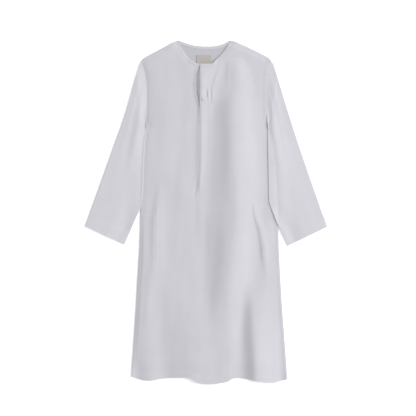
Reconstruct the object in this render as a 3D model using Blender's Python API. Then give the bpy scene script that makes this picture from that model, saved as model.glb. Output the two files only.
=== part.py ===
"""Thobe robe laid flat on its back, front up.

World axes: +X runs to the wearer's left, +Y from the hem to the neck, +Z up
from the surface it lies on. Tables below are in millimetres.
"""
import math

import bpy
import numpy as np
from mathutils import Vector
from mathutils.bvhtree import BVHTree

MM = 0.001

# cloth and seam sizes, mm
CLOTH = 1.5
SEAM_GAP = 0.3
TRIM = 1.2
BACK_TRIM = 1.0
PANEL_LIFT = 2.7
SHOULDER_RUN = 24.0
SIDE_RUN = 34.0
ARMHOLE_DIP = 2.4
SLEEVE_HEIGHT = 6.0
SLEEVE_EDGE_ROUND = 6.0
SLEEVE_INNER_SLIM = 1.3
SLEEVE_CUFF_SLIM = 0.7
SLEEVE_LEAST_HALF = 1.7
SLEEVE_HEAD_SLIM = 0.9
HEM_LINE = 25.0
BINDING_WIDTH = 10.5
SLIT_FOOT_Y = 76.0
ROWS_HEM_TO_NECK = 36

# side of the body panels: y, x at the wearer's right, x at the left
BODY_SIDE = [
    (700.0, -242.6, 245.0), (567.0, -242.6, 245.0), (556.0, -238.0, 235.4),
    (518.0, -226.5, 229.8), (492.0, -221.6, 227.8), (458.0, -220.0, 227.2),
    (410.0, -219.8, 227.5), (364.0, -220.0, 228.5), (340.0, -221.6, 230.0),
    (325.0, -223.5, 232.0), (300.0, -230.0, 238.5), (275.0, -235.5, 246.0),
    (250.0, -239.0, 252.0), (177.0, -243.0, 260.0), (100.0, -245.5, 265.0),
    (0.0, -247.0, 269.0), (-74.0, -249.0, 271.5), (-134.0, -250.5, 273.0),
    (-179.0, -253.5, 275.5), (-269.0, -259.0, 280.0), (-359.0, -264.0, 285.5),
    (-449.0, -270.0, 292.5), (-539.0, -276.0, 299.0), (-584.0, -279.4, 302.3),
    (-625.0, -280.3, 305.0), (-700.0, -280.3, 305.0),
]
UNDERARM_Y = 325.0

# slit and its bands: y, left edge of the over band, width of the dark gap
# beside it, right edge of the over band
SLIT = [
    (700.0, -20.6, 1.2, 16.0), (556.0, -20.6, 2.0, 16.0), (543.0, -20.6, 6.0, 15.5),
    (520.0, -20.6, 13.0, 14.5), (480.0, -20.6, 17.0, 13.5), (440.0, -20.6, 14.5, 12.5),
    (413.0, -20.6, 8.0, 12.5), (392.0, -20.6, 2.2, 13.0), (330.0, -20.6, 1.3, 13.0),
    (233.0, -20.6, 1.0, 12.5), (188.0, -20.8, 1.0, 6.0), (158.0, -21.5, 1.0, 0.5),
    (121.0, -24.0, 1.0, -4.5), (95.0, -26.5, 0.9, -9.5), (76.0, -27.0, 0.0, -10.5),
    (-60.0, -22.0, 0.0, -4.0), (-300.0, -15.0, 0.0, 6.0), (-650.0, -12.0, 0.0, 12.0),
]

# upper edge of the front from shoulder to slit, and from slit to shoulder: x, y
NECK_RIGHT = [
    (-242.6, 567.0), (-232.5, 577.5), (-217.5, 586.5), (-187.5, 602.6),
    (-157.5, 618.4), (-127.5, 635.3), (-106.9, 643.5), (-100.0, 632.0),
    (-90.0, 614.0), (-78.0, 596.0), (-65.3, 579.0), (-50.0, 567.6),
    (-37.0, 558.5), (-22.6, 556.2),
]
NECK_RIGHT_POINT = 6
NECK_LEFT = [
    (-20.6, 556.2), (-3.0, 556.0), (16.0, 556.2), (25.0, 558.5), (34.0, 567.0),
    (44.0, 576.5), (57.0, 590.5), (69.0, 605.0), (80.5, 623.3), (95.6, 643.5),
    (112.5, 637.5), (142.5, 624.8), (172.5, 610.9), (202.5, 595.9),
    (232.5, 580.1), (245.0, 567.0),
]
NECK_LEFT_POINT = 9

# upper edge of the back: x, y
BACK_TOP = [
    (-242.6, 567.0), (-232.5, 577.5), (-187.5, 602.6), (-140.0, 628.2),
    (-106.9, 643.5), (-82.5, 636.4), (-52.5, 627.0), (-22.0, 622.5), (7.5, 621.4),
    (37.5, 623.6), (67.5, 631.9), (95.6, 643.5), (142.5, 624.8), (187.5, 603.4),
    (232.5, 580.1), (245.0, 567.0),
]

# hem edge of the front: x, y
HEM = [
    (-282.0, -616.0), (-277.5, -616.5), (-262.5, -622.5), (-247.5, -626.2),
    (-232.5, -629.6), (-217.5, -630.8), (-202.5, -630.8), (-187.5, -627.8),
    (-172.5, -624.4), (-157.5, -622.5), (-142.5, -621.4), (-112.5, -619.9),
    (-82.5, -619.0), (-67.5, -619.5), (-52.5, -625.1), (-37.5, -635.6),
    (-22.5, -640.1), (-7.5, -642.0), (7.5, -643.2), (22.5, -643.2), (37.5, -641.6),
    (52.5, -639.4), (67.5, -637.5), (82.5, -633.8), (97.5, -623.6), (112.5, -620.3),
    (127.5, -621.0), (157.5, -625.5), (187.5, -631.1), (217.5, -635.3),
    (247.5, -638.6), (262.5, -637.1), (277.5, -631.9), (292.5, -629.3), (306.0, -626.0),
]

# soft folds of the front: name, then y, x of the crest, height, run to each side
FOLDS = [
    ("long_chest_fold", [
        (575.0, 110.0, 1.0, 50.0, 40.0), (540.0, 114.0, 4.0, 66.0, 56.0),
        (458.0, 116.0, 8.0, 86.0, 84.0), (383.0, 116.0, 10.5, 94.0, 96.0),
        (233.0, 116.0, 11.5, 100.0, 106.0), (83.0, 117.0, 12.5, 118.0, 110.0),
        (8.0, 115.0, 12.5, 118.0, 110.0), (-67.0, 107.0, 13.0, 116.0, 110.0),
        (-142.0, 103.0, 13.0, 112.0, 108.0), (-217.0, 95.0, 11.5, 104.0, 100.0),
        (-292.0, 86.0, 10.0, 100.0, 92.0), (-367.0, 77.0, 7.5, 100.0, 80.0),
        (-442.0, 80.0, 5.5, 100.0, 62.0), (-517.0, 84.0, 4.5, 100.0, 52.0),
        (-650.0, 84.0, 4.0, 100.0, 50.0)]),
    ("left_hem_fold", [
        (-240.0, 178.0, 0.0, 40.0, 70.0), (-292.0, 179.0, 1.6, 44.0, 74.0),
        (-367.0, 179.0, 5.0, 48.0, 84.0), (-442.0, 180.0, 7.6, 50.0, 92.0),
        (-517.0, 184.0, 8.6, 50.0, 98.0), (-650.0, 187.0, 9.2, 50.0, 106.0)]),
    ("middle_hem_fold", [
        (-230.0, -60.0, 0.0, 110.0, 120.0), (-292.0, -58.0, 1.5, 115.0, 120.0),
        (-367.0, -52.0, 4.0, 120.0, 130.0), (-442.0, -46.0, 6.0, 125.0, 140.0),
        (-517.0, -44.0, 7.0, 125.0, 150.0), (-650.0, -42.0, 8.5, 125.0, 150.0)]),
    ("right_hem_fold", [
        (-430.0, -216.0, 0.0, 40.0, 48.0), (-530.0, -214.0, 1.2, 42.0, 48.0),
        (-650.0, -210.0, 3.0, 46.0, 52.0)]),
    ("pocket_fold", [
        (130.0, -172.0, 0.0, 20.0, 34.0), (60.0, -176.0, 1.6, 20.0, 38.0),
        (0.0, -188.0, 2.2, 20.0, 46.0), (-110.0, -192.0, 2.8, 20.0, 48.0),
        (-210.0, -194.0, 2.2, 24.0, 50.0), (-320.0, -196.0, 0.0, 28.0, 48.0)]),
    ("slit_right_lip", [
        (560.0, -60.0, 0.0, 40.0, 40.0), (500.0, -70.0, 0.5, 50.0, 46.0),
        (400.0, -66.0, 0.5, 50.0, 44.0), (300.0, -60.0, 0.0, 44.0, 40.0)]),
    ("slit_left_lip", [
        (600.0, -19.0, 0.5, 8.0, 90.0), (556.0, -19.0, 2.6, 8.0, 110.0),
        (530.0, -19.0, 5.6, 8.0, 120.0), (480.0, -19.0, 7.0, 8.0, 120.0),
        (420.0, -19.0, 6.0, 9.0, 100.0), (385.0, -19.0, 3.4, 12.0, 60.0),
        (320.0, -19.0, 2.2, 16.0, 34.0), (200.0, -19.4, 1.9, 16.0, 30.0),
        (110.0, -24.0, 1.6, 16.0, 26.0), (50.0, -25.0, 0.0, 14.0, 24.0)]),
]

# fold edges of a sleeve: ring, outer x, outer y, inner x, inner y
SLEEVE_RIGHT = [
    (0.00, -242.9, 567.0, -223.8, 325.0), (0.04, -250.5, 553.0, -222.6, 316.0),
    (0.10, -259.4, 523.0, -223.2, 302.0), (0.17, -270.5, 487.0, -226.4, 284.0),
    (0.24, -284.6, 434.0, -228.8, 262.0), (0.31, -301.1, 376.0, -230.2, 236.0),
    (0.39, -321.4, 316.0, -232.2, 200.0), (0.48, -343.5, 256.0, -233.2, 156.0),
    (0.57, -364.5, 196.0, -234.6, 112.0), (0.66, -385.9, 136.0, -237.8, 66.0),
    (0.75, -407.6, 76.0, -243.0, 22.0), (0.82, -420.5, 40.0, -250.6, 3.0),
    (0.89, -436.0, -2.0, -266.0, -31.0), (0.95, -446.5, -31.0, -288.6, -83.0),
    (1.00, -454.5, -51.8, -306.0, -122.3),
]
SLEEVE_LEFT = [
    (0.00, 245.3, 567.0, 232.3, 325.0), (0.04, 254.3, 553.0, 230.9, 316.0),
    (0.10, 263.3, 523.0, 230.5, 302.0), (0.17, 274.5, 487.0, 230.6, 284.0),
    (0.24, 290.4, 434.0, 230.8, 262.0), (0.31, 308.3, 376.0, 231.4, 236.0),
    (0.39, 327.4, 316.0, 232.2, 200.0), (0.48, 346.9, 256.0, 232.8, 156.0),
    (0.57, 367.5, 196.0, 233.6, 112.0), (0.66, 387.8, 136.0, 234.0, 70.0),
    (0.75, 408.8, 76.0, 235.8, 36.0), (0.82, 421.0, 42.0, 246.0, 8.0),
    (0.89, 436.0, -2.0, 262.8, -34.0), (0.95, 447.5, -30.0, 285.0, -84.0),
    (1.00, 455.6, -53.6, 305.6, -126.8),
]
SLEEVE_RINGS = 22

# pocket lips: y, x of the lip's middle
LIP_RIGHT = [(19.0, -184.5), (-20.0, -184.0), (-90.0, -184.4), (-150.0, -185.0),
             (-187.0, -186.0)]
LIP_LEFT = [(34.0, 177.5), (0.0, 182.0), (-30.0, 184.5), (-63.0, 196.0),
            (-97.0, 204.4), (-146.0, 208.0), (-180.0, 211.6)]
LIP_WIDTH = 7.0

# label and button
LABEL_X = (-35.0, 26.5)
LABEL_Y = (543.0, 589.0)
BUTTON_CENTRE = (-7.6, 424.0)
BUTTON_RADIUS = 6.0
BUTTON_HEIGHT = 2.6


def column(table, key, value, y):
    """Straight-line lookup of one column of a table against another."""
    rows = sorted(table, key=lambda r: r[key])
    return np.interp(y, [r[key] for r in rows], [r[value] for r in rows])


def smooth(t):
    t = np.clip(t, 0.0, 1.0)
    return t * t * (3.0 - 2.0 * t)


def side_right(y):
    return column(BODY_SIDE, 0, 1, y)


def side_left(y):
    return column(BODY_SIDE, 0, 2, y)


def fold_height(x, y):
    """Sum of the soft folds, each a rounded crest with its own two runs."""
    total = np.zeros_like(x)
    for _name, rows in FOLDS:
        crest = column(rows, 0, 1, y)
        height = column(rows, 0, 2, y)
        run_right = column(rows, 0, 3, y)
        run_left = column(rows, 0, 4, y)
        off = x - crest
        run = np.where(off < 0.0, run_right, run_left)
        inside = (y <= max(r[0] for r in rows)) & (y >= min(r[0] for r in rows))
        total = total + np.where(inside, height * smooth(1.0 - np.abs(off) / run), 0.0)
    return total


def segment_distance(x, y, ends):
    """Distance from points to the nearest segment of a polyline."""
    best = np.full(np.shape(x), 1e9)
    for (ax, ay), (bx, by) in zip(ends[:-1], ends[1:]):
        ux, uy = bx - ax, by - ay
        length2 = ux * ux + uy * uy
        t = np.clip(((x - ax) * ux + (y - ay) * uy) / length2, 0.0, 1.0)
        best = np.minimum(best, np.hypot(x - ax - t * ux, y - ay - t * uy))
    return best


SHOULDER_RIGHT = NECK_RIGHT[:NECK_RIGHT_POINT + 1]
SHOULDER_LEFT = NECK_LEFT[NECK_LEFT_POINT:]
SEAM_RIGHT = [(r[1], r[0]) for r in BODY_SIDE if -640.0 <= r[0] <= UNDERARM_Y]
SEAM_LEFT = [(r[2], r[0]) for r in BODY_SIDE if -640.0 <= r[0] <= UNDERARM_Y]
ARMHOLE_RIGHT = [(r[1], r[0]) for r in BODY_SIDE if UNDERARM_Y <= r[0] <= 567.0]
ARMHOLE_LEFT = [(r[2], r[0]) for r in BODY_SIDE if UNDERARM_Y <= r[0] <= 567.0]


def side_rise(inside):
    """Rise of a panel inwards from its sewn edge: steep at first, then level."""
    return 1.0 - (1.0 - np.clip(inside / SIDE_RUN, 0.0, 1.0)) ** 2.4


def front_under(x, y):
    """Height of the front panel's inner face above the surface, in mm."""
    shoulder = segment_distance(x, y, SHOULDER_RIGHT)
    shoulder = np.minimum(shoulder, segment_distance(x, y, SHOULDER_LEFT))
    side = segment_distance(x, y, SEAM_RIGHT)
    side = np.minimum(side, segment_distance(x, y, SEAM_LEFT))
    near = np.minimum(shoulder, side)
    armhole = segment_distance(x, y, ARMHOLE_RIGHT)
    armhole = np.minimum(armhole, segment_distance(x, y, ARMHOLE_LEFT))
    dip = ARMHOLE_DIP * (1.0 - side_rise(armhole))
    rise = smooth(shoulder / SHOULDER_RUN) * side_rise(side)
    folds = fold_height(x, y) * smooth(near / 26.0)
    return CLOTH + SEAM_GAP + (PANEL_LIFT - dip) * rise + folds


def material(name, colour, roughness):
    mat = bpy.data.materials.new(name)
    mat.use_nodes = True
    shader = mat.node_tree.nodes["Principled BSDF"]
    shader.inputs["Base Color"].default_value = (*colour, 1.0)
    shader.inputs["Roughness"].default_value = roughness
    shader.inputs["Metallic"].default_value = 0.0
    return mat


def add_object(name, points, faces, colour=(0.74, 0.74, 0.77), roughness=0.85):
    """One closed solid from points in mm, with its own material."""
    mesh = bpy.data.meshes.new(name)
    mesh.from_pydata([tuple(float(c) * MM for c in p) for p in points], [], faces)
    mesh.validate()
    obj = bpy.data.objects.new(name, mesh)
    bpy.context.scene.collection.objects.link(obj)
    mesh.materials.append(material("mat_" + name, colour, roughness))
    return obj


def wall(name, x, y, low, high, cells, same=None, **look):
    """Close a grid into a wall: two faces of the cells and a rim round them."""
    same = same or {}
    number = {}
    points = []
    top = []

    def vertex(i, j, level):
        key = (*same.get((i, j), (i, j)), level)
        if key not in number:
            number[key] = len(points)
            height = high if level else low
            points.append((x[key[0], key[1]], y[key[0], key[1]], height[key[0], key[1]]))
        return number[key]

    faces = []
    edges = {}
    for i, j in cells:
        corner = [(i, j), (i, j + 1), (i + 1, j + 1), (i + 1, j)]
        for a, b, c in ((0, 1, 2), (0, 2, 3)):
            tri = [same.get(corner[k], corner[k]) for k in (a, b, c)]
            top.append(tri)
            faces.append([vertex(*p, 1) for p in tri])
            faces.append([vertex(*p, 0) for p in reversed(tri)])
            for p, q in ((tri[0], tri[1]), (tri[1], tri[2]), (tri[2], tri[0])):
                edges[(p, q)] = edges.get((p, q), 0) + 1
    for p, q in edges:
        if (q, p) not in edges:
            faces.append([vertex(*q, 1), vertex(*p, 1), vertex(*p, 0)])
            faces.append([vertex(*q, 1), vertex(*p, 0), vertex(*q, 0)])
    return add_object(name, points, faces, **look)


def row_shares():
    """Shares of the height at each row: closer near hem and neck."""
    first = [0.0, 0.011, 0.0216]
    rest = np.linspace(0.0216, 1.0, ROWS_HEM_TO_NECK - 1)[1:]
    return np.array(first + list(rest))


def body_grid(top, side_a, side_b, share_of, hem_drop=0.0):
    """Rows from hem to upper edge, columns between two side lines."""
    shares = row_shares()
    top = np.array(top)
    tx, ty = top[:, 0], top[:, 1]
    slope = np.gradient(ty, tx)
    band = np.minimum(BINDING_WIDTH * np.sqrt(1.0 + slope * slope), 21.0)
    under = ty - band
    x = np.zeros((len(shares) + 1, len(top)))
    y = np.zeros_like(x)
    for j, share in enumerate(share_of):
        guess = side_a(-625.0) + share * (side_b(-625.0) - side_a(-625.0))
        for _ in range(3):
            bottom = np.interp(guess, [p[0] for p in HEM], [p[1] for p in HEM]) + hem_drop
            guess = side_a(bottom) + share * (side_b(bottom) - side_a(bottom))
        level = 545.0
        straight = bottom + shares * (level - bottom)
        pull = smooth((shares - 0.70) / 0.30)
        y[:-1, j] = straight + pull * (under[j] - level)
        y[-1, j] = ty[j]
        x[:, j] = side_a(y[:, j]) + share * (side_b(y[:, j]) - side_a(y[:, j]))
    return x, y


def make_front():
    """Front panel as two halves that part along the slit."""
    def slit_right(y):
        return column(SLIT, 0, 1, y) - column(SLIT, 0, 2, y)

    def slit_left(y):
        return column(SLIT, 0, 1, y)

    def band_edge(y):
        return column(SLIT, 0, 3, y)

    share_a = []
    for px, py in NECK_RIGHT:
        share_a.append((px - side_right(py)) / (slit_right(py) - side_right(py)))
    share_a[0], share_a[-1] = 0.0, 1.0
    xa, ya = body_grid(NECK_RIGHT, side_right, slit_right, share_a)
    left_band = NECK_LEFT[:3]
    xb, yb = body_grid(left_band, slit_left, band_edge, [0.0, 0.5, 1.0])
    left_rest = NECK_LEFT[2:]
    share_c = []
    for px, py in left_rest:
        share_c.append((px - band_edge(py)) / (side_left(py) - band_edge(py)))
    share_c[0], share_c[-1] = 0.0, 1.0
    xc, yc = body_grid(left_rest, band_edge, side_left, share_c)
    x = np.hstack([xa, xb, xc[:, 1:]])
    y = np.hstack([ya, yb, yc[:, 1:]])
    # one row of the slit columns sits on the foot of the slit
    last = len(NECK_RIGHT) - 1
    foot = int(np.argmin(np.abs(y[:, last] - SLIT_FOOT_Y)))
    for j in (last, last + 1, last + 2, last + 3):
        y[foot, j] = SLIT_FOOT_Y
    for i in range(foot + 1):
        y[i, last] = y[i, last + 1]
        x[i, last] = x[i, last + 1]
    x[foot, last] = x[foot, last + 1] = column(SLIT, 0, 1, SLIT_FOOT_Y)
    low = front_under(x, y)
    high = low + CLOTH
    same = {(i, last + 1): (i, last) for i in range(foot + 1)}
    rows, cols = x.shape
    cells = [(i, j) for i in range(rows - 1) for j in range(cols - 1) if j != last]
    wall("front", x, y, low, high, cells, same)
    return x, y, low, high, last, foot


def make_back(front_x, front_y):
    """Back panel, flat on the surface, its sides level with the front's rows."""
    share = []
    for px, py in BACK_TOP:
        share.append((px - side_right(py)) / (side_left(py) - side_right(py)))
    share[0], share[-1] = 0.0, 1.0
    x, y = body_grid(BACK_TOP, side_right, side_left, share, hem_drop=1.5)
    low = np.zeros_like(x)
    rows, cols = x.shape
    cells = [(i, j) for i in range(rows - 1) for j in range(cols - 1)]
    wall("back", x, y, low, low + CLOTH, cells)
    return x, y


def make_bands(x, y, low, high, last, foot):
    """Bands of the slit and the binding of the front neck edge."""
    rows, cols = x.shape
    over_low = high + SEAM_GAP
    oy = y.copy()
    oy[rows - 2, :] -= SEAM_GAP
    cells = [(i, j) for i in range(foot, rows - 2) for j in (last + 1, last + 2)]
    wall("placket_over", x, oy, over_low, over_low + TRIM, cells)

    for name, first, stop in (
            ("neck_band_right", NECK_RIGHT_POINT, last),
            ("neck_band_left", last + 1, last + 1 + NECK_LEFT_POINT)):
        cells = [(rows - 2, j) for j in range(first, stop)]
        wall(name, x, y, over_low, over_low + TRIM, cells)

    pick = [last - 1, last, last + 1, last + 3]
    bx = x[:, pick].copy()
    by = y[:, pick].copy()
    top = low[:, pick] - SEAM_GAP
    floor = CLOTH + SEAM_GAP + BACK_TRIM + SEAM_GAP + TRIM
    top[:, 1] = np.minimum(top[:, 1], floor)
    cells = [(i, j) for i in range(foot + 1, rows - 1) for j in range(3)]
    wall("placket_under", bx, by, top - TRIM, top, cells)


def make_back_neck(points=15):
    """Binding along the inside of the back neck edge."""
    x = np.linspace(-101.0, 88.0, points)
    edge = np.interp(x, [p[0] for p in BACK_TOP], [p[1] for p in BACK_TOP]) - 0.8
    neck = NECK_RIGHT + NECK_LEFT
    front = np.interp(x, [p[0] for p in neck], [p[1] for p in neck])
    width = np.minimum(BINDING_WIDTH, edge - front - 2.0)
    gx = np.vstack([x, x])
    gy = np.vstack([edge - width, edge])
    low = np.full_like(gx, CLOTH + SEAM_GAP)
    cells = [(0, j) for j in range(points - 1)]
    wall("neck_band_back", gx, gy, low, low + BACK_TRIM, cells)


def make_label():
    """Bare woven label on the inside of the back."""
    gx, gy = np.meshgrid(np.linspace(*LABEL_X, 5), np.linspace(*LABEL_Y, 4))
    low = np.full_like(gx, CLOTH + SEAM_GAP)
    cells = [(i, j) for i in range(3) for j in range(4)]
    wall("label", gx, gy, low, low + BACK_TRIM, cells, colour=(0.72, 0.68, 0.58))


def surface_of(names):
    """Ray target made of the named solids."""
    points = []
    faces = []
    for name in names:
        mesh = bpy.data.objects[name].data
        start = len(points)
        points.extend(v.co.copy() for v in mesh.vertices)
        faces.extend([start + k for k in p.vertices] for p in mesh.polygons)
    return BVHTree.FromPolygons(points, faces)


def height_at(tree, x, y):
    hit = tree.ray_cast(Vector((x * MM, y * MM, 1.0)), Vector((0.0, 0.0, -1.0)))
    return hit[0].z / MM


def make_lip(name, table, points=9):
    """Pocket lip: a narrow strip that follows the front's face."""
    tree = surface_of(["front"])
    ys = np.linspace(table[-1][0], table[0][0], points)
    xs = column(table, 0, 1, ys)
    gx = np.vstack([xs - LIP_WIDTH / 2, xs, xs + LIP_WIDTH / 2]).T
    gy = np.vstack([ys, ys, ys]).T
    seat = np.zeros_like(gx)
    for i in range(points):
        for j in range(3):
            seat[i, j] = height_at(tree, gx[i, j], gy[i, j])
    low = seat + SEAM_GAP + 0.15
    cells = [(i, j) for i in range(points - 1) for j in range(2)]
    wall(name, gx, gy, low, low + 1.0, cells)


def make_button(sides=24):
    """Shirt button: a disc with a raised rim and a dished middle."""
    tree = surface_of(["placket_over"])
    cx, cy = BUTTON_CENTRE
    seat = 0.0
    for k in range(16):
        a = math.tau * k / 16
        seat = max(seat, height_at(tree, cx + BUTTON_RADIUS * math.cos(a),
                                   cy + BUTTON_RADIUS * math.sin(a)))
    base = seat + SEAM_GAP
    # radius share, height share
    profile = [(0.82, 0.0), (1.0, 0.35), (1.0, 0.7), (0.9, 1.0), (0.74, 0.95),
               (0.62, 0.6), (0.3, 0.5)]
    points = []
    faces = []
    for share, rise in profile:
        for k in range(sides):
            a = math.tau * k / sides
            points.append((cx + BUTTON_RADIUS * share * math.cos(a),
                           cy + BUTTON_RADIUS * share * math.sin(a),
                           base + BUTTON_HEIGHT * rise))
    for ring in range(len(profile) - 1):
        for k in range(sides):
            n = (k + 1) % sides
            a, b = ring * sides + k, ring * sides + n
            faces.append([a, b, b + sides, a + sides])
    faces.append(list(range(sides))[::-1])
    top = (len(profile) - 1) * sides
    faces.append([top + k for k in range(sides)])
    add_object("button", points, faces, colour=(0.78, 0.77, 0.76), roughness=0.35)


def lift_over_body(x, y, sign):
    """Height of what lies under a sleeve where it crosses the body's side."""
    side = side_right(y) if sign < 0 else side_left(y)
    inside = (x - side) * (1.0 if sign < 0 else -1.0)
    full = 2.0 * CLOTH + SEAM_GAP + PANEL_LIFT * side_rise(inside) + 0.7
    return full * smooth((inside + 26.0) / 27.0) * smooth((UNDERARM_Y + 27.0 - y) / 26.0)


def make_sleeve(name, table, sign, armholes):
    """Sleeve as rings round a flat tube, open at armhole and cuff."""
    radius = SLEEVE_EDGE_ROUND
    rings = np.linspace(0.0, 1.0, SLEEVE_RINGS) ** 1.25
    outer_loops = []
    inner_loops = []
    for t in rings:
        ox, oy = column(table, 0, 1, t), column(table, 0, 2, t)
        ix, iy = column(table, 0, 3, t), column(table, 0, 4, t)
        width = math.hypot(ix - ox, iy - oy)
        bend = float(1.0 - smooth(t / 0.12))
        upper = [0.0, 0.7, 2.5, 6.0, 20.0]
        upper += list(np.linspace(20.0, width - 45.0, 4)[1:])
        upper += [width - 28.0, width - 16.0, width - 6.0, width - 2.5, width - 0.7, width]
        lower = [width - 0.7, width - 2.5, width - 6.0, width - 16.0, width - 28.0]
        lower += list(np.linspace(width - 45.0, 20.0, 4))
        lower += [6.0, 2.5, 0.7]

        def place(run):
            u = run / width
            x = ox + (ix - ox) * u
            y = oy + (iy - oy) * u
            head_x = table[0][1] + (table[0][3] - table[0][1]) * u
            head_y = table[0][2] + (table[0][4] - table[0][2]) * u
            edge = max(sign * np.interp(head_y, ys, xs) for ys, xs in armholes)
            x = x + (sign * (edge + SEAM_GAP + 0.1) - head_x) * bend
            if y > UNDERARM_Y - 3.0:
                clear = max(sign * np.interp(y, ys, xs) for ys, xs in armholes)
                x = sign * max(sign * x, clear + SEAM_GAP + 0.1)
            return x, y

        def loop(inset):
            points = []
            for kind, runs in ((1.0, upper), (-1.0, lower)):
                for run in runs:
                    edge = min(run, width - run)
                    grow = 1.0 - min(edge, radius) / radius
                    slim = SLEEVE_INNER_SLIM * smooth(2.0 * run / width - 1.0)
                    head = SLEEVE_HEAD_SLIM * float(1.0 - smooth(t / 0.04))
                    cuff = SLEEVE_CUFF_SLIM * float(smooth((t - 0.75) / 0.25))
                    half = SLEEVE_HEIGHT / 2 - head - cuff - float(slim) * (1.0 - bend)
                    half = max(half, SLEEVE_LEAST_HALF)
                    rise = (half - inset) * math.sqrt(max(0.0, 1.0 - grow * grow))
                    along = inset + run * (width - 2.0 * inset) / width
                    x, y = place(along)
                    base = float(lift_over_body(x, y, sign))
                    points.append((float(x), float(y), base + half + kind * rise))
            return points

        outer_loops.append(loop(0.0))
        inner_loops.append(loop(CLOTH))
    count = len(outer_loops[0])
    points = []
    for loops in (outer_loops, inner_loops):
        for ring in loops:
            points.extend(ring)
    shift = len(outer_loops) * count
    faces = []
    for r in range(len(outer_loops) - 1):
        for k in range(count):
            n = (k + 1) % count
            a, b = r * count + k, r * count + n
            c, d = b + count, a + count
            quad = [a, b, c, d]
            faces.append(quad if sign > 0 else quad[::-1])
            quad = [p + shift for p in quad]
            faces.append(quad[::-1] if sign > 0 else quad)
    end = (len(outer_loops) - 1) * count
    for start, flip in ((0, False), (end, True)):
        for k in range(count):
            n = (k + 1) % count
            quad = [start + k, start + k + shift, start + n + shift, start + n]
            if flip:
                quad = quad[::-1]
            faces.append(quad if sign > 0 else quad[::-1])
    add_object(name, points, faces)


def main():
    for obj in list(bpy.data.objects):
        bpy.data.objects.remove(obj, do_unlink=True)
    x, y, low, high, last, foot = make_front()
    bx, by = make_back(x, y)
    make_bands(x, y, low, high, last, foot)
    make_back_neck()
    make_label()
    make_lip("pocket_welt_right", LIP_RIGHT)
    make_lip("pocket_welt_left", LIP_LEFT)
    make_button()
    edges = [(y[:, 0], x[:, 0]), (by[:, 0], bx[:, 0])]
    make_sleeve("sleeve_right", SLEEVE_RIGHT, -1, edges)
    edges = [(y[:, -1], x[:, -1]), (by[:, -1], bx[:, -1])]
    make_sleeve("sleeve_left", SLEEVE_LEFT, 1, edges)


main()
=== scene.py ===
# %% [markdown]
# A thobe robe laid flat on a pale table, front up, seen from straight above.
# The script dresses the plain solids of the robe with fine cloth shells: each
# one follows its solid's form and adds the creases, hems and stitches that a
# solid is too coarse to carry.

import math

import bpy
import numpy as np
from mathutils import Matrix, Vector


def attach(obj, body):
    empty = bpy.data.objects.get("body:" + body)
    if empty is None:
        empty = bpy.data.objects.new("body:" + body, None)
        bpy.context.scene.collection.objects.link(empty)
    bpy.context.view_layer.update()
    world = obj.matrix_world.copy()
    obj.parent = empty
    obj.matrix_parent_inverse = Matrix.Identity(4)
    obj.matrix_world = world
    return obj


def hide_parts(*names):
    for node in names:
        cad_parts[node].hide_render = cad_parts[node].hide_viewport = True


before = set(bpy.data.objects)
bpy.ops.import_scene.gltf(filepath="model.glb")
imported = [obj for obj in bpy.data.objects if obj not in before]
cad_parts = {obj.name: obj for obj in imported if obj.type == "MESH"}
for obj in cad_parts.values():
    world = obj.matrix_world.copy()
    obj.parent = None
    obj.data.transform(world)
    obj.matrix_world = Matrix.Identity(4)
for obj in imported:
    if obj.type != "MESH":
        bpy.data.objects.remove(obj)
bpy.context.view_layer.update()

# %% [markdown]
# The camera hangs straight above the table, as in a catalogue picture of a
# garment laid flat. A long lens from 3.2 m keeps the hem and the neck at the
# same scale.

# %% Camera
MM = 0.001
VIEW_WIDTH = 1.560
CAMERA_HEIGHT = 3.2

camera_data = bpy.data.cameras.new("overhead_camera")
camera_data.sensor_width = 36.0
camera_data.lens = 36.0 * CAMERA_HEIGHT / VIEW_WIDTH
camera_data.dof.use_dof = False
camera = bpy.data.objects.new("overhead_camera", camera_data)
camera.location = (0.0075, 0.0158, CAMERA_HEIGHT)
bpy.context.scene.collection.objects.link(camera)
bpy.context.scene.camera = camera
print("lens", round(camera_data.lens, 1), "mm")

# %% [markdown]
# A robe like this is cut from a few simple panels. The tables hold the sewing
# sizes of the solids, in millimetres: where the body's sides run, where the
# chest slit opens, how the neck and the hem curve, and where the large folds
# of the front stand up. The slit, the chest fold and the sleeves' edges are
# drawn a little finer here than in the solids. Tables with named columns were
# chosen over a sculpted mesh, because each line can be read and changed.

# %% Sewing sizes
CLOTH = 1.5
SEAM_GAP = 0.3
BACK_TRIM = 1.0
PANEL_LIFT = 2.7
SHOULDER_RUN = 24.0
SIDE_RUN = 34.0
FOLD_FADE = 26.0
ARMHOLE_DIP = 2.4
SLEEVE_HEIGHT = 6.0
SLEEVE_EDGE_ROUND = 2.4
SLEEVE_INNER_SLIM = 2.05
SLEEVE_CUFF_SLIM = 0.7
SLEEVE_LEAST_HALF = 0.95
SLEEVE_HEAD_SLIM = 1.05
SLEEVE_CLOTH = 0.8
SLEEVE_LENGTH = 655.0
SLEEVE_MEAN_SHARE = 0.86
SLEEVE_CLEAR = 0.5
LAYER_GAP = 0.06
BINDING_WIDTH = 10.5
SLIT_FOOT_Y = 76.0
ROWS_HEM_TO_NECK = 36
UNDERARM_Y = 325.0
HEM_DEPTH = 25.0
CUFF_DEPTH = 36.0
STITCH_INSET = 2.0

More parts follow.
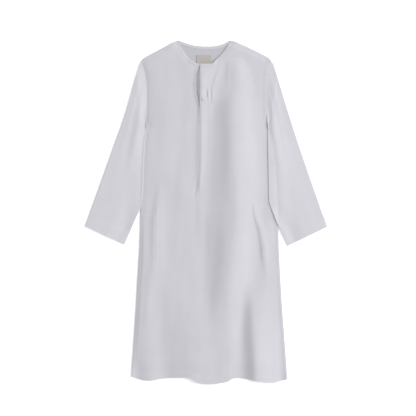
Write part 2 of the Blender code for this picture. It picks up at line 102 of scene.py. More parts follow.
# y, x at the wearer's right, x at the left
BODY_SIDE = [
    (700, -242.6, 245), (567, -242.6, 245), (556, -238, 235.4), (518, -226.5, 229.8),
    (492, -221.6, 227.8), (458, -220, 227.2), (410, -219.8, 227.5), (364, -220, 228.5),
    (340, -221.6, 230), (325, -223.5, 232), (300, -230, 238.5), (275, -235.5, 246),
    (250, -239, 252), (177, -243, 260), (100, -245.5, 265), (0, -247, 269), (-74, -249, 271.5),
    (-134, -250.5, 273), (-179, -253.5, 275.5), (-269, -259, 280), (-359, -264, 285.5),
    (-449, -270, 292.5), (-539, -276, 299), (-584, -279.4, 302.3), (-625, -280.3, 305),
    (-700, -280.3, 305),
]

# y, left edge of the over band, width of the gap beside it, its right edge
SLIT = [
    (700, -20.6, 1.2, 16), (556, -20.6, 0.8, 16), (549, -21.6, 1.4, 15.8), (540, -22.8, 4, 15.4),
    (530, -23.6, 7.6, 14.9), (518, -24.1, 10.4, 14.4), (500, -24.2, 11.7, 14),
    (480, -24.2, 11.8, 13.5), (460, -24, 11, 13), (442, -23.8, 9.4, 12.6), (428, -23.6, 6.6, 12.5),
    (415, -23.4, 3.4, 12.6), (405, -23.3, 1.5, 12.8), (396, -23.2, 0.7, 13), (384, -23.2, 0.4, 13),
    (366, -23.2, 0.3, 13), (330, -23.4, 0.3, 13), (233, -23.8, 0.3, 12.5), (188, -24, 0.3, 6),
    (158, -24.6, 0.3, 0.5), (121, -26.6, 0.3, -4.5), (95, -28.6, 0.3, -10.5), (76, -29, 0, -11.5),
    (-60, -22, 0, -4), (-300, -15, 0, 6), (-650, -12, 0, 12),
]

# upper edge of the front: x, y
NECK_RIGHT = [
    (-242.6, 567), (-232.5, 577.5), (-217.5, 586.5), (-187.5, 602.6), (-157.5, 618.4),
    (-127.5, 635.3), (-106.9, 643.5), (-100, 632), (-90, 614), (-78, 596), (-65.3, 579),
    (-50, 567.6), (-37, 558.5), (-22.6, 556.2),
]
NECK_RIGHT_POINT = 6
NECK_LEFT = [
    (-20.6, 556.2), (-3, 556), (16, 556.2), (25, 558.5), (34, 567), (44, 576.5), (57, 590.5),
    (69, 605), (80.5, 623.3), (95.6, 643.5), (112.5, 637.5), (142.5, 624.8), (172.5, 610.9),
    (202.5, 595.9), (232.5, 580.1), (245, 567),
]
NECK_LEFT_POINT = 9

# upper edge of the back: x, y
BACK_TOP = [
    (-242.6, 567), (-232.5, 577.5), (-187.5, 602.6), (-140, 628.2), (-106.9, 643.5), (-82.5, 636.4),
    (-52.5, 627), (-22, 622.5), (7.5, 621.4), (37.5, 623.6), (67.5, 631.9), (95.6, 643.5),
    (142.5, 624.8), (187.5, 603.4), (232.5, 580.1), (245, 567),
]

# hem edge of the front: x, y
HEM = [
    (-282, -616), (-277.5, -616.5), (-262.5, -622.5), (-247.5, -626.2), (-232.5, -629.6),
    (-217.5, -630.8), (-202.5, -630.8), (-187.5, -627.8), (-172.5, -624.4), (-157.5, -622.5),
    (-142.5, -621.4), (-112.5, -619.9), (-82.5, -619), (-67.5, -619.5), (-52.5, -625.1),
    (-37.5, -635.6), (-22.5, -640.1), (-7.5, -642), (7.5, -643.2), (22.5, -643.2), (37.5, -641.6),
    (52.5, -639.4), (67.5, -637.5), (82.5, -633.8), (97.5, -623.6), (112.5, -620.3), (127.5, -621),
    (157.5, -625.5), (187.5, -631.1), (217.5, -635.3), (247.5, -638.6), (262.5, -637.1),
    (277.5, -631.9), (292.5, -629.3), (306, -626),
]

# folds: name, then y, x of the crest, height, run to each side
FOLDS = [
    ("long_chest_fold", [
        (575, 110, 1, 50, 40), (540, 114, 4, 66, 56), (458, 111, 7.6, 82, 88),
        (383, 110, 10, 89, 100), (233, 110, 11.2, 95, 110), (83, 112, 12.4, 113, 114),
        (8, 111, 12.5, 114, 114), (-67, 105, 13, 114, 112), (-142, 103, 13, 112, 108),
        (-217, 95, 11.5, 104, 100), (-292, 86, 10, 100, 92), (-367, 77, 7.5, 100, 80),
        (-442, 80, 5.5, 100, 62), (-517, 84, 4.5, 100, 52), (-650, 84, 4, 100, 50)]),
    ("left_hem_fold", [
        (-240, 178, 0, 40, 70), (-292, 179, 1.6, 44, 74), (-367, 179, 5, 48, 84),
        (-442, 180, 7.6, 50, 92), (-517, 184, 8.6, 50, 98), (-650, 187, 9.2, 50, 106)]),
    ("middle_hem_fold", [
        (-230, -60, 0, 110, 120), (-292, -58, 1.5, 115, 120), (-367, -52, 4, 120, 130),
        (-442, -46, 6, 125, 140), (-517, -44, 7, 125, 150), (-650, -42, 8.5, 125, 150)]),
    ("right_hem_fold", [
        (-430, -216, 0, 40, 48), (-530, -214, 1.2, 42, 48), (-650, -210, 3, 46, 52)]),
    ("pocket_fold", [
        (130, -172, 0, 20, 34), (60, -176, 1.6, 20, 38), (0, -188, 2.2, 20, 46),
        (-110, -192, 2.8, 20, 48), (-210, -194, 2.2, 24, 50), (-320, -196, 0, 28, 48)]),
    ("slit_right_lip", [
        (560, -60, 0, 40, 40), (500, -70, 0.5, 50, 46), (400, -66, 0.5, 50, 44),
        (300, -60, 0, 44, 40)]),
    ("slit_left_lip", [
        (600, -19, 0.4, 8, 90), (556, -19.6, 1.8, 8, 110), (530, -22.4, 3.8, 8, 120),
        (480, -22.8, 5.4, 8, 120), (420, -22.2, 5.2, 9, 100), (385, -22, 3.2, 12, 60),
        (320, -22.2, 2, 18, 36), (200, -22.8, 1.7, 18, 32), (110, -26.6, 1.5, 18, 28),
        (50, -27, 0, 14, 24)]),
]

# ring, outer x, outer y, inner x, inner y
SLEEVE_RIGHT = [
    (0, -242.9, 567, -223.8, 325), (0.04, -250.5, 553, -223.6, 316),
    (0.1, -259.4, 523, -224.4, 302), (0.17, -270.5, 487, -226.4, 284),
    (0.24, -284.6, 434, -228.8, 262), (0.31, -301.1, 376, -230.2, 236),
    (0.39, -321.4, 316, -232.2, 200), (0.48, -343.5, 256, -233.2, 156),
    (0.57, -364.5, 196, -234.6, 112), (0.66, -385.9, 136, -237.8, 66), (0.75, -407.6, 76, -243, 22),
    (0.82, -420.5, 40, -250.6, 3), (0.89, -436, -2, -266, -31), (0.95, -446.5, -31, -288.6, -83),
    (1, -454.5, -51.8, -306, -122.3),
]
SLEEVE_LEFT = [
    (0, 245.3, 567, 232.3, 325), (0.04, 254.3, 553, 232.2, 316), (0.1, 263.3, 523, 231.9, 302),
    (0.17, 274.5, 487, 231.6, 284), (0.24, 290.4, 434, 231.5, 262), (0.31, 308.3, 376, 231.6, 236),
    (0.39, 327.4, 316, 232.2, 200), (0.48, 346.9, 256, 232.8, 156), (0.57, 367.5, 196, 233.6, 112),
    (0.66, 387.8, 136, 234, 70), (0.75, 408.8, 76, 235.8, 36), (0.82, 421, 42, 246, 8),
    (0.89, 436, -2, 262.8, -34), (0.95, 447.5, -30, 285, -84), (1, 455.6, -53.6, 305.6, -126.8),
]

# y, x of a pocket lip's middle
LIP_RIGHT = [
    (19, -184.5), (-20, -184), (-90, -184.4), (-150, -185), (-187, -186),
]
LIP_LEFT = [
    (34, 177.5), (0, 182), (-30, 184.5), (-63, 196), (-97, 204.4), (-146, 208), (-180, 211.6),
]
LIP_WIDTH = 7.0
LABEL_X = (-35.0, 20.0)
LABEL_Y = (543.0, 589.0)
BUTTON_CENTRE = (-7.6, 424.0)
BUTTON_RADIUS = 6.0
BUTTON_HEIGHT = 2.6
print("tables:", len(FOLDS), "large folds,", len(SLEEVE_LEFT), "sleeve sections")

# %% [markdown]
# Every surface of the robe is a height over the table. These small formulas
# turn the tables into that height: a fold is a rounded crest with its own run
# on each side, and a panel comes down to the one below it at its seams. Cloth
# simulation could drop the robe on the table too, but its folds would not fall
# where the real ones lie.


# %% Height of the cloth over the table
def column(table, key, value, at):
    """Straight-line lookup of one column of a table against another."""
    rows = sorted(table, key=lambda r: r[key])
    return np.interp(at, [r[key] for r in rows], [r[value] for r in rows])


def smooth(t):
    """Soft step: three t squared less two t cubed, from 0 to 1."""
    t = np.clip(t, 0.0, 1.0)
    return t * t * (3.0 - 2.0 * t)


def side_right(y):
    """X of the body's side at the wearer's right."""
    return column(BODY_SIDE, 0, 1, y)


def side_left(y):
    """X of the body's side at the wearer's left."""
    return column(BODY_SIDE, 0, 2, y)


def side_at(y, sign):
    """X of the body's side at the wearer's right, sign -1, or left, sign 1."""
    return side_right(y) if sign < 0 else side_left(y)


def hem_line(x):
    """Y of the front's hem edge at x."""
    return np.interp(x, [p[0] for p in HEM], [p[1] for p in HEM])


def ridges(x, y, table):
    """Sum of crests: height times a soft step of one less distance over run."""
    total = np.zeros_like(x)
    for _name, rows in table:
        off = x - column(rows, 0, 1, y)
        run = np.where(off < 0.0, column(rows, 0, 3, y), column(rows, 0, 4, y))
        inside = (y <= max(r[0] for r in rows)) & (y >= min(r[0] for r in rows))
        crest = column(rows, 0, 2, y) * smooth(1.0 - np.abs(off) / run)
        total = total + np.where(inside, crest, 0.0)
    return total


def segment_distance(x, y, ends):
    """Distance from each point to the nearest segment of a line of points."""
    best = np.full(np.shape(x), 1e9)
    for (ax, ay), (bx, by) in zip(ends[:-1], ends[1:]):
        ux, uy = bx - ax, by - ay
        t = ((x - ax) * ux + (y - ay) * uy) / (ux * ux + uy * uy)
        t = np.clip(t, 0.0, 1.0)
        best = np.minimum(best, np.hypot(x - ax - t * ux, y - ay - t * uy))
    return best


def nearest(x, y, lines):
    """Distance from each point to the nearest of some lines of points."""
    return np.minimum.reduce([segment_distance(x, y, line) for line in lines])


SHOULDER_RIGHT = NECK_RIGHT[:NECK_RIGHT_POINT + 1]
SHOULDER_LEFT = NECK_LEFT[NECK_LEFT_POINT:]
SEAM_RIGHT = [(r[1], r[0]) for r in BODY_SIDE if -640.0 <= r[0] <= UNDERARM_Y]
SEAM_LEFT = [(r[2], r[0]) for r in BODY_SIDE if -640.0 <= r[0] <= UNDERARM_Y]
ARMHOLE_RIGHT = [(r[1], r[0]) for r in BODY_SIDE if UNDERARM_Y <= r[0] <= 567.0]
ARMHOLE_LEFT = [(r[2], r[0]) for r in BODY_SIDE if UNDERARM_Y <= r[0] <= 567.0]


def side_rise(inside):
    """Rise of a panel inwards from its sewn edge: steep at first, then level."""
    return 1.0 - (1.0 - np.clip(inside / SIDE_RUN, 0.0, 1.0)) ** 2.4


def front_under(x, y):
    """Height of the front's inner face: seam height, soft rise, then folds."""
    shoulder = nearest(x, y, (SHOULDER_RIGHT, SHOULDER_LEFT))
    side = nearest(x, y, (SEAM_RIGHT, SEAM_LEFT))
    armhole = nearest(x, y, (ARMHOLE_RIGHT, ARMHOLE_LEFT))
    dip = ARMHOLE_DIP * (1.0 - side_rise(armhole))
    rise = smooth(shoulder / SHOULDER_RUN) * side_rise(side)
    folds = ridges(x, y, FOLDS) * smooth(np.minimum(shoulder, side) / FOLD_FADE)
    return CLOTH + SEAM_GAP + (PANEL_LIFT - dip) * rise + folds


print("front height at the chest fold:", round(float(front_under(np.array([100.0]),
      np.array([200.0]))[0]), 1), "mm")

# %% [markdown]
# Worn and folded cotton keeps faint creases between its large folds. They are
# set one by one, a few to each part of the robe and no two alike, together with
# the print of a pocket bag, the turned hem and the ridge of each seam. A bump
# pattern could draw them, but only real form catches a low light as they do.

# %% Fine creases and sewn relief
# name, then y, x, height, run to each side
FINE_CREASES = [
    ("right_chest_long", [
        (470, -146, 0, 60, 50), (360, -150, 1.4, 64, 56), (230, -152, 1.6, 66, 56),
        (120, -156, 0.8, 60, 50), (40, -160, 0, 50, 40)]),
    ("right_chest_short", [
        (448, -168, 0, 7, 12), (430, -172, 0.5, 8, 14), (404, -184, 0, 7, 12)]),
    ("right_waist", [
        (210, -96, 0, 30, 40), (80, -92, 0.5, 34, 44), (-60, -98, 0.6, 34, 44),
        (-200, -108, 0, 32, 40)]),
    ("slit_side", [
        (380, -74, 0, 22, 24), (300, -70, 0.5, 24, 24), (200, -64, 0.5, 24, 24),
        (100, -60, 0, 18, 20)]),
    ("slit_hook", [
        (165, -32, 0, 5, 5), (120, -34, -0.8, 6, 5), (88, -38, -1.2, 6, 6), (68, -43, -0.8, 6, 6),
        (54, -48, 0, 5, 5)]),
    ("below_slit", [
        (60, -28, 0, 10, 16), (20, -26, 0.5, 14, 22), (-80, -22, 0.4, 18, 26),
        (-220, -14, 0, 20, 26)]),
    ("neck_streak_inner", [
        (560, 46, 0, 30, 10), (534, 39, -1.1, 36, 12), (500, 26, -1.4, 40, 12),
        (470, 18, -1, 36, 11), (440, 14, 0, 30, 10)]),
    ("neck_streak_outer", [
        (575, 76, 0, 34, 12), (546, 73, -1.1, 42, 15), (512, 68, -1.2, 46, 16),
        (455, 66, 0, 40, 14)]),
    ("left_chest_short", [
        (500, 196, 0, 9, 10), (482, 188, 0.5, 10, 13), (462, 174, 0, 9, 10)]),
    ("left_pocket_drag", [
        (40, 176, 0, 10, 20), (-10, 186, 1, 12, 22), (-60, 203, 2.2, 16, 24),
        (-130, 214, 2.4, 18, 26), (-190, 220, 1.4, 16, 24), (-260, 226, 0, 12, 20)]),
    ("right_skirt", [
        (-120, -222, 0, 9, 16), (-230, -216, 0.5, 12, 22), (-380, -222, 0.5, 14, 24),
        (-480, -232, 0, 12, 20)]),
    ("left_skirt", [
        (-180, 120, 0, 30, 36), (-330, 116, 0.6, 32, 36), (-420, 112, 0, 30, 32)]),
    ("left_side_skirt", [
        (-300, 252, 0, 12, 16), (-440, 258, 0.8, 14, 18), (-560, 262, 0.6, 14, 18),
        (-650, 264, 0.4, 12, 16)]),
    ("left_hem_edge", [
        (-290, 174, 0, 28, 80), (-380, 177, 1.4, 34, 96), (-470, 180, 2.6, 36, 100),
        (-560, 184, 3, 36, 100), (-650, 188, 3, 36, 100)]),
    ("button_pinch_foot", [
        (466, 4, 0, 18, 2), (454, 4.4, -1.3, 20, 2.2), (436, 5, -1.5, 20, 2.2), (418, 6, 0, 18, 2)]),
    ("button_pinch_head", [
        (466, 7, 0, 2, 12), (454, 7.6, 0.7, 2.2, 15), (436, 8.2, 0.8, 2.2, 15), (418, 9, 0, 2, 12)]),
    ("outer_pinch_foot", [
        (468, 17, 0, 14, 2.6), (450, 18, -0.9, 14, 3), (430, 19, -1, 14, 3), (406, 20, 0, 14, 2.6)]),
    ("outer_pinch_head", [
        (468, 21.5, 0, 2.6, 24), (450, 22.5, 0.6, 3, 26), (430, 23.5, 0.6, 3, 26),
        (406, 24.5, 0, 2.6, 24)]),
    ("chest_fold_edge", [
        (470, 96, 0, 30, 70), (383, 91, 1.6, 38, 90), (233, 90, 1.9, 42, 100),
        (120, 88, 1.5, 46, 100), (40, 84, 0, 44, 90)]),
    ("waist_fold_edge", [
        (-20, 82, 0, 44, 90), (-100, 76, 1.8, 46, 90), (-217, 66, 2.2, 46, 84),
        (-330, 52, 1.6, 44, 70), (-420, 44, 0, 40, 60)]),
    ("right_skirt_long", [
        (60, -238, 0, 20, 60), (-60, -244, 1.8, 20, 74), (-250, -250, 3.4, 44, 92),
        (-400, -254, 3.6, 44, 98), (-520, -268, 2.4, 20, 95), (-610, -272, 0, 20, 80)]),
    ("slit_right_roll", [
        (552, -24, 0, 14, 4), (530, -28.5, 2.2, 20, 5), (480, -29.8, 3.6, 24, 5.6),
        (430, -27.6, 2.6, 20, 4.4), (396, -23, 0, 14, 4)]),
]


def crumple(x, y):
    """Faint unevenness: a sum of slow slanted waves of unlike lengths."""
    waves = [(97.0, 710.0, 0.16, 0.3), (61.0, 530.0, 0.09, 1.9), (43.0, -460.0, 0.05, 4.0),
             (173.0, 250.0, 0.12, 2.6), (-118.0, 195.0, 0.06, 5.2)]
    total = np.zeros_like(x)
    for across, along, height, start in waves:
        total = total + height * np.sin(math.tau * (x / across + y / along) + start)
    return total


def plateau(value, low, high, soft):
    """One between two limits and zero outside, with soft edges."""
    return smooth((value - low) / soft) * smooth((high - value) / soft)


def pocket_print(x, y):
    """Low step where the right pocket bag lies behind the front."""
    bag = plateau(x, -241.0, -186.0, 5.0) * smooth((-8.0 - y) / 5.0)
    return 0.7 * bag * smooth((y + 260.0) / 120.0)


def hem_relief(x, y):
    """Turned hem: a low step up to the stitch line and a groove along it."""
    up = y - hem_line(x)
    step = 0.55 * smooth((HEM_DEPTH + 1.5 - up) / 3.0)
    groove = -0.35 * np.exp(-((up - HEM_DEPTH + STITCH_INSET) / 1.8) ** 2)
    pucker = 0.12 * np.sin(math.tau * x / 11.0 + 1.4 * np.sin(x / 37.0))
    return step + groove + pucker * np.exp(-((up - 15.0) / 9.0) ** 2)


def seam_relief(x, y):
    """Ridge of the seam allowances beside the side and shoulder seams."""
    near = nearest(x, y, (SHOULDER_RIGHT, SHOULDER_LEFT, SEAM_RIGHT, SEAM_LEFT))
    return 0.45 * plateau(near, 1.0, 11.0, 3.0)


NECK_SIDES = [NECK_RIGHT[NECK_RIGHT_POINT:-3], NECK_LEFT[4:NECK_LEFT_POINT + 1]]


def edge_ease(x, y, side):
    """Softer run-down at the skirt's sides and hem, low rolls at neck and armhole."""
    skirt = smooth((20.0 - y) / 60.0)
    gentle = PANEL_LIFT * (smooth(side / 60.0) - side_rise(side))
    neck = nearest(x, y, NECK_SIDES)
    away = smooth((np.abs(x + 5.0) - 36.0) / 16.0)
    fall = -2.0 * (1.0 - smooth((y - hem_line(x)) / 80.0)) * smooth(side / 30.0)
    roll = 1.6 * (1.0 - smooth(segment_distance(x, y, ARMHOLE_LEFT) / 18.0))
    roll = roll * smooth((y - UNDERARM_Y - 10.0) / 40.0)
    return skirt * gentle + fall + roll - 1.9 * np.exp(-(neck / 13.0) ** 2) * away


def front_face(x, y):
    """Height of the front's outer face with every fine form on it."""
    side = np.minimum(x - side_right(y), side_left(y) - x)
    calm = smooth(side / 20.0)
    fine = ridges(x, y, FINE_CREASES) * calm + crumple(x, y) * calm
    fine = fine + pocket_print(x, y) + hem_relief(x, y) + seam_relief(x, y)
    return front_under(x, y) + CLOTH + fine + edge_ease(x, y, side)


print("fine creases on the front:", len(FINE_CREASES))

# %% [markdown]
# Colours are given as they look on a screen and turned into light values by
# one function. One more function adds a node with its settings and links, so
# that each material below stays short.


# %% Material helpers
def linear(hex_colour):
    """Screen colour in hex turned into linear light."""
    parts = [int(hex_colour[k:k + 2], 16) / 255.0 for k in (1, 3, 5)]
    out = [p / 12.92 if p <= 0.04045 else ((p + 0.055) / 1.055) ** 2.4 for p in parts]
    return (*out, 1.0)


def add(tree, kind, settings=None, **links):
    """New node with its settings; links name an input and the socket or value."""
    node = tree.nodes.new(kind)
    for key, value in (settings or {}).items():
        setattr(node, key, value)
    for key, value in links.items():
        name = key.replace("_", " ")
        socket = node.inputs[int(key[2:])] if key.startswith("in") else node.inputs[name]
        if isinstance(value, bpy.types.NodeSocket):
            tree.links.new(value, socket)
        else:
            socket.default_value = value
    return node


def shader_of(name):
    """New material with its tree and its main shader."""
    mat = bpy.data.materials.new(name)
    mat.use_nodes = True
    tree = mat.node_tree
    return mat, tree, tree.nodes["Principled BSDF"]


def two_tone(tree, shader, factor, first, second):
    """Base colour that goes from one screen colour to a second by a factor."""
    mix = add(tree, "ShaderNodeMix", {"data_type": "RGBA"}, Factor=factor)
    mix.inputs[6].default_value = linear(first)
    mix.inputs[7].default_value = linear(second)
    tree.links.new(mix.outputs[2], shader.inputs["Base Color"])


def woven(name, colour, deep, pitch_mm, weave_depth, crease_depth, roughness, sheen):
    """Plain weave: crossed threads as bump, slow tone changes as colour.

    The thread pattern is the product of two sines, one along each thread.
    """
    mat, tree, shader = shader_of(name)
    cloth = add(tree, "ShaderNodeUVMap", {"uv_map": "cloth"}).outputs["UV"]
    parts = add(tree, "ShaderNodeSeparateXYZ", in0=cloth)
    turns = math.tau / (pitch_mm * MM)
    warp = add(tree, "ShaderNodeMath", {"operation": "MULTIPLY"}, in0=parts.outputs[0], in1=turns)
    weft = add(tree, "ShaderNodeMath", {"operation": "MULTIPLY"}, in0=parts.outputs[1], in1=turns)
    warp = add(tree, "ShaderNodeMath", {"operation": "SINE"}, in0=warp.outputs[0])
    weft = add(tree, "ShaderNodeMath", {"operation": "SINE"}, in0=weft.outputs[0])
    cross = add(tree, "ShaderNodeMath", {"operation": "MULTIPLY"}, in0=warp.outputs[0],
                in1=weft.outputs[0])
    slub = add(tree, "ShaderNodeTexNoise", {"noise_dimensions": "3D"}, Vector=cloth,
               Scale=260.0, Detail=3.0, Roughness=0.6)
    threads = add(tree, "ShaderNodeMath", {"operation": "MULTIPLY_ADD"}, in0=slub.outputs[0],
                  in1=0.8, in2=cross.outputs[0])
    slow = add(tree, "ShaderNodeTexNoise", {"noise_dimensions": "3D"}, Vector=cloth,
               Scale=7.0, Detail=4.0, Roughness=0.55)
    tone = add(tree, "ShaderNodeMapRange", in0=slow.outputs[0], in1=0.3, in2=0.7, in3=0.0,
               in4=1.0)
    two_tone(tree, shader, tone.outputs[0], colour, deep)
    fine = add(tree, "ShaderNodeBump", Strength=0.35, Distance=weave_depth * MM,
               Height=threads.outputs[0])
    wrinkle = add(tree, "ShaderNodeTexNoise", {"noise_dimensions": "3D"}, Vector=cloth,
                  Scale=24.0, Detail=2.0, Roughness=0.5, Distortion=0.6)
    soft = add(tree, "ShaderNodeBump", Strength=1.0, Distance=crease_depth * MM,
               Height=wrinkle.outputs[0], Normal=fine.outputs[0])
    tree.links.new(soft.outputs[0], shader.inputs["Normal"])
    shader.inputs["Roughness"].default_value = roughness
    shader.inputs["Specular IOR Level"].default_value = 0.25
    shader.inputs["Sheen Weight"].default_value = sheen
    shader.inputs["Sheen Roughness"].default_value = 0.5
    return mat


# %% [markdown]
# The cloth is bleached poplin with a cool cast. Its threads are about 0.3 mm
# apart; the pattern below uses 0.9 mm, because finer threads would only
# shimmer at this distance. The binding, the bands and the pocket lips are cut
# from the same cloth, the label is a soft cream tape, and the thread is white.
# The sleeves are a lighter copy of the same cloth, painted light, and the
# inside of the back a darker copy, painted shade.

# %% Materials
# Plain weave, bleached and pressed: matt, with hardly any sheen. The numbers
# are thread pitch, depth of the weave and of the wrinkles, roughness, sheen.
poplin = woven("bleached_poplin", "#CBCAD1", "#C7C6CD", 0.9, 0.10, 0.40, 0.86, 0.10)
# Lighter copy of the poplin: painted light on the sleeves.
poplin_painted_light = woven("bleached_poplin_painted_light", "#D0CFD6", "#CCCBD2", 0.9, 0.10, 0.40, 0.86, 0.10)
# Darker copy of the poplin: painted shade on the back inside the neck.
poplin_painted_shade = woven("bleached_poplin_painted_shade", "#BFBEC5", "#BBBAC1", 0.9, 0.10, 0.30, 0.88, 0.06)
poplin_band = woven("poplin_on_the_bias", "#CBCAD1", "#C7C6CD", 0.9, 0.10, 0.20, 0.84, 0.10)
# Woven satin tape: closer threads and more sheen than the poplin.
label_tape = woven("cream_woven_tape", "#B8B3AE", "#ACA7A2", 0.7, 0.08, 0.10, 0.60, 0.20)


def thread_finish():
    """Twisted white sewing thread: fine slanted lines, as bump and as tone."""
    mat, tree, shader = shader_of("white_sewing_thread")
    place = add(tree, "ShaderNodeTexCoord").outputs["Object"]
    twist = add(tree, "ShaderNodeTexWave", {"bands_direction": "DIAGONAL"}, Vector=place,
                Scale=700.0, Distortion=1.0)
    two_tone(tree, shader, twist.outputs[1], "#CFCED6", "#C4C3CB")
    bump = add(tree, "ShaderNodeBump", Strength=0.4, Distance=0.05 * MM, Height=twist.outputs[1])
    tree.links.new(bump.outputs[0], shader.inputs["Normal"])
    shader.inputs["Roughness"].default_value = 0.7
    return mat


def button_finish():
    """Cast polyester resin: pearly clouds in the colour under a clear surface."""
    mat, tree, shader = shader_of("pearly_shirt_button")
    place = add(tree, "ShaderNodeTexCoord").outputs["Object"]
    cloud = add(tree, "ShaderNodeTexNoise", {"noise_dimensions": "3D"}, Vector=place,
                Scale=420.0, Detail=3.0, Distortion=1.5)
    two_tone(tree, shader, cloud.outputs[0], "#E2E1E5", "#D2D0D6")
    shader.inputs["Roughness"].default_value = 0.28
    shader.inputs["Coat Weight"].default_value = 0.3
    return mat


thread = thread_finish()
button_resin = button_finish()
print("materials:", len(bpy.data.materials))

# %% [markdown]
# A cloth piece is made as one grid of points, its outer face, which then gets
# its thickness inwards. The same grid holds the flat cloth's own coordinates,
# so that the weave follows the threads.


# %% Mesh helpers
def placed(name, mesh, finish):
    """Object of a mesh at the origin, with smooth faces and its finish."""
    mesh.polygons.foreach_set("use_smooth", np.ones(len(mesh.polygons), dtype=bool))
    mesh.materials.append(finish)
    obj = bpy.data.objects.new(name, mesh)
    bpy.context.scene.collection.objects.link(obj)
    return obj


def cloth_mesh(name, points, quads, flat, finish, thickness):
    """Mesh from points in mm; flat gives each point's place in the cut cloth.

    Its open borders are sharp, so that the cut edge doesn't shade the face.
    """
    mesh = bpy.data.meshes.new(name)
    mesh.vertices.add(len(points))
    mesh.vertices.foreach_set("co", (np.asarray(points, dtype=float) * MM).ravel())
    quads = np.asarray(quads, dtype=np.int32)
    mesh.loops.add(quads.size)
    mesh.loops.foreach_set("vertex_index", quads.ravel())
    mesh.polygons.add(len(quads))
    mesh.polygons.foreach_set("loop_start", np.arange(len(quads), dtype=np.int32) * 4)
    mesh.update(calc_edges=True)
    layer = mesh.uv_layers.new(name="cloth")
    uv = np.asarray(flat, dtype=float)[quads.ravel()] * MM
    layer.data.foreach_set("uv", uv.ravel())
    edge_of = np.zeros(quads.size, dtype=np.int32)
    mesh.loops.foreach_get("edge_index", edge_of)
    border = np.bincount(edge_of, minlength=len(mesh.edges)) == 1
    mesh.attributes.new("sharp_edge", "BOOLEAN", "EDGE").data.foreach_set("value", border)
    obj = placed(name, mesh, finish)
    solid = obj.modifiers.new("cloth_thickness", "SOLIDIFY")
    solid.thickness = thickness * MM
    solid.offset = -1.0
    solid.use_even_offset = False
    solid.use_rim = True
    return obj


def grid_quads(index):
    """Quads of a grid of vertex numbers, rows up and columns to the right."""
    a = index[:-1, :-1].ravel()
    b = index[:-1, 1:].ravel()
    c = index[1:, 1:].ravel()
    d = index[1:, :-1].ravel()
    return np.stack([a, b, c, d], axis=1)


def grid_cloth(name, x, y, z, finish, thickness):
    """Cloth piece from one plain grid."""
    index = np.arange(x.size).reshape(x.shape)
    points = np.stack([x.ravel(), y.ravel(), z.ravel()], axis=1)
    flat = np.stack([x.ravel(), y.ravel()], axis=1)
    return cloth_mesh(name, points, grid_quads(index), flat, finish, thickness)


def curve_through(points, steps):
    """Rounded line through points: cubic pieces with slopes from neighbours."""
    p = np.array(points, dtype=float)
    before = np.vstack([2 * p[:1] - p[1:2], p[:-2]])
    after = np.vstack([p[2:], 2 * p[-1:] - p[-2:-1]])
    out = []
    for k in range(len(p) - 1):
        t = np.linspace(0.0, 1.0, steps, endpoint=False)[:, None]
        slope_a = (p[k + 1] - before[k]) / 2
        slope_b = (after[k] - p[k]) / 2
        out.append((2 * t**3 - 3 * t**2 + 1) * p[k] + (t**3 - 2 * t**2 + t) * slope_a
                   + (3 * t**2 - 2 * t**3) * p[k + 1] + (t**3 - t**2) * slope_b)
    out.append(p[-1:])
    return np.vstack(out)


def row_shares():
    """Shares of the height at each coarse row, closer near the hem."""
    rest = np.linspace(0.0216, 1.0, ROWS_HEM_TO_NECK - 1)[1:]
    return np.array([0.0, 0.011, 0.0216] + list(rest))


def body_grid(top, fine_top, side_a, side_b, steps_up, hem_drop=0.0):
    """Rows from hem to upper edge between two side lines.

    Rows run straight over most of the length and bend to the neck near it.
    """
    top = np.array(top)
    slope = np.gradient(top[:, 1], top[:, 0])
    band = np.minimum(BINDING_WIDTH * np.sqrt(1.0 + slope * slope), 21.0)
    across = np.linspace(0.0, len(top) - 1.0, len(fine_top))
    band = np.interp(across, np.arange(len(top)), band)
    tx, ty = fine_top[:, 0], fine_top[:, 1]
    share = (tx - side_a(ty)) / (side_b(ty) - side_a(ty))
    share[0], share[-1] = 0.0, 1.0
    coarse = row_shares()
    rows = np.interp(np.linspace(0.0, len(coarse) - 1.0, (len(coarse) - 1) * steps_up + 1),
                     np.arange(len(coarse)), coarse)
    foot_x = side_a(-625.0) + share * (side_b(-625.0) - side_a(-625.0))
    # the hem's height and the side lines depend on each other: three rounds
    for _ in range(3):
        bottom = hem_line(foot_x) + hem_drop
        foot_x = side_a(bottom) + share * (side_b(bottom) - side_a(bottom))
    level = 545.0
    pull = smooth((rows - 0.70) / 0.30)[:, None]
    y = bottom + rows[:, None] * (level - bottom) + pull * (ty - band - level)
    steps = np.linspace(0.0, 1.0, steps_up + 1)[1:, None]
    y = np.vstack([y, y[-1] + steps * (ty - y[-1])])
    x = side_a(y) + share * (side_b(y) - side_a(y))
    return x, y


print("coarse rows from hem to neck:", len(row_shares()))

# %% [markdown]
# The front is one panel with a long slit cut down from the neck. The slit
# could be cut out of a whole sheet with a boolean, which leaves ragged faces.
# Here the panel is two grids that share their points below the slit's foot,
# so that the cloth is whole there and open above, and every row stays clean.


# %% Front panel
def slit_right_edge(y):
    """Edge of the right half, at the far side of the dark gap."""
    return column(SLIT, 0, 1, y) - column(SLIT, 0, 2, y)


def slit_left_edge(y):
    """Edge of the left half, which the over band covers."""
    return column(SLIT, 0, 1, y)


def band_edge(y):
    """Right edge of the over band."""
    return column(SLIT, 0, 3, y)


def fine_top(points, corner, steps):
    """Upper edge as two rounded lines that meet at the neck point."""
    if corner is None:
        return curve_through(points, steps)
    first = curve_through(points[:corner + 1], steps)
    return np.vstack([first[:-1], curve_through(points[corner:], steps)])


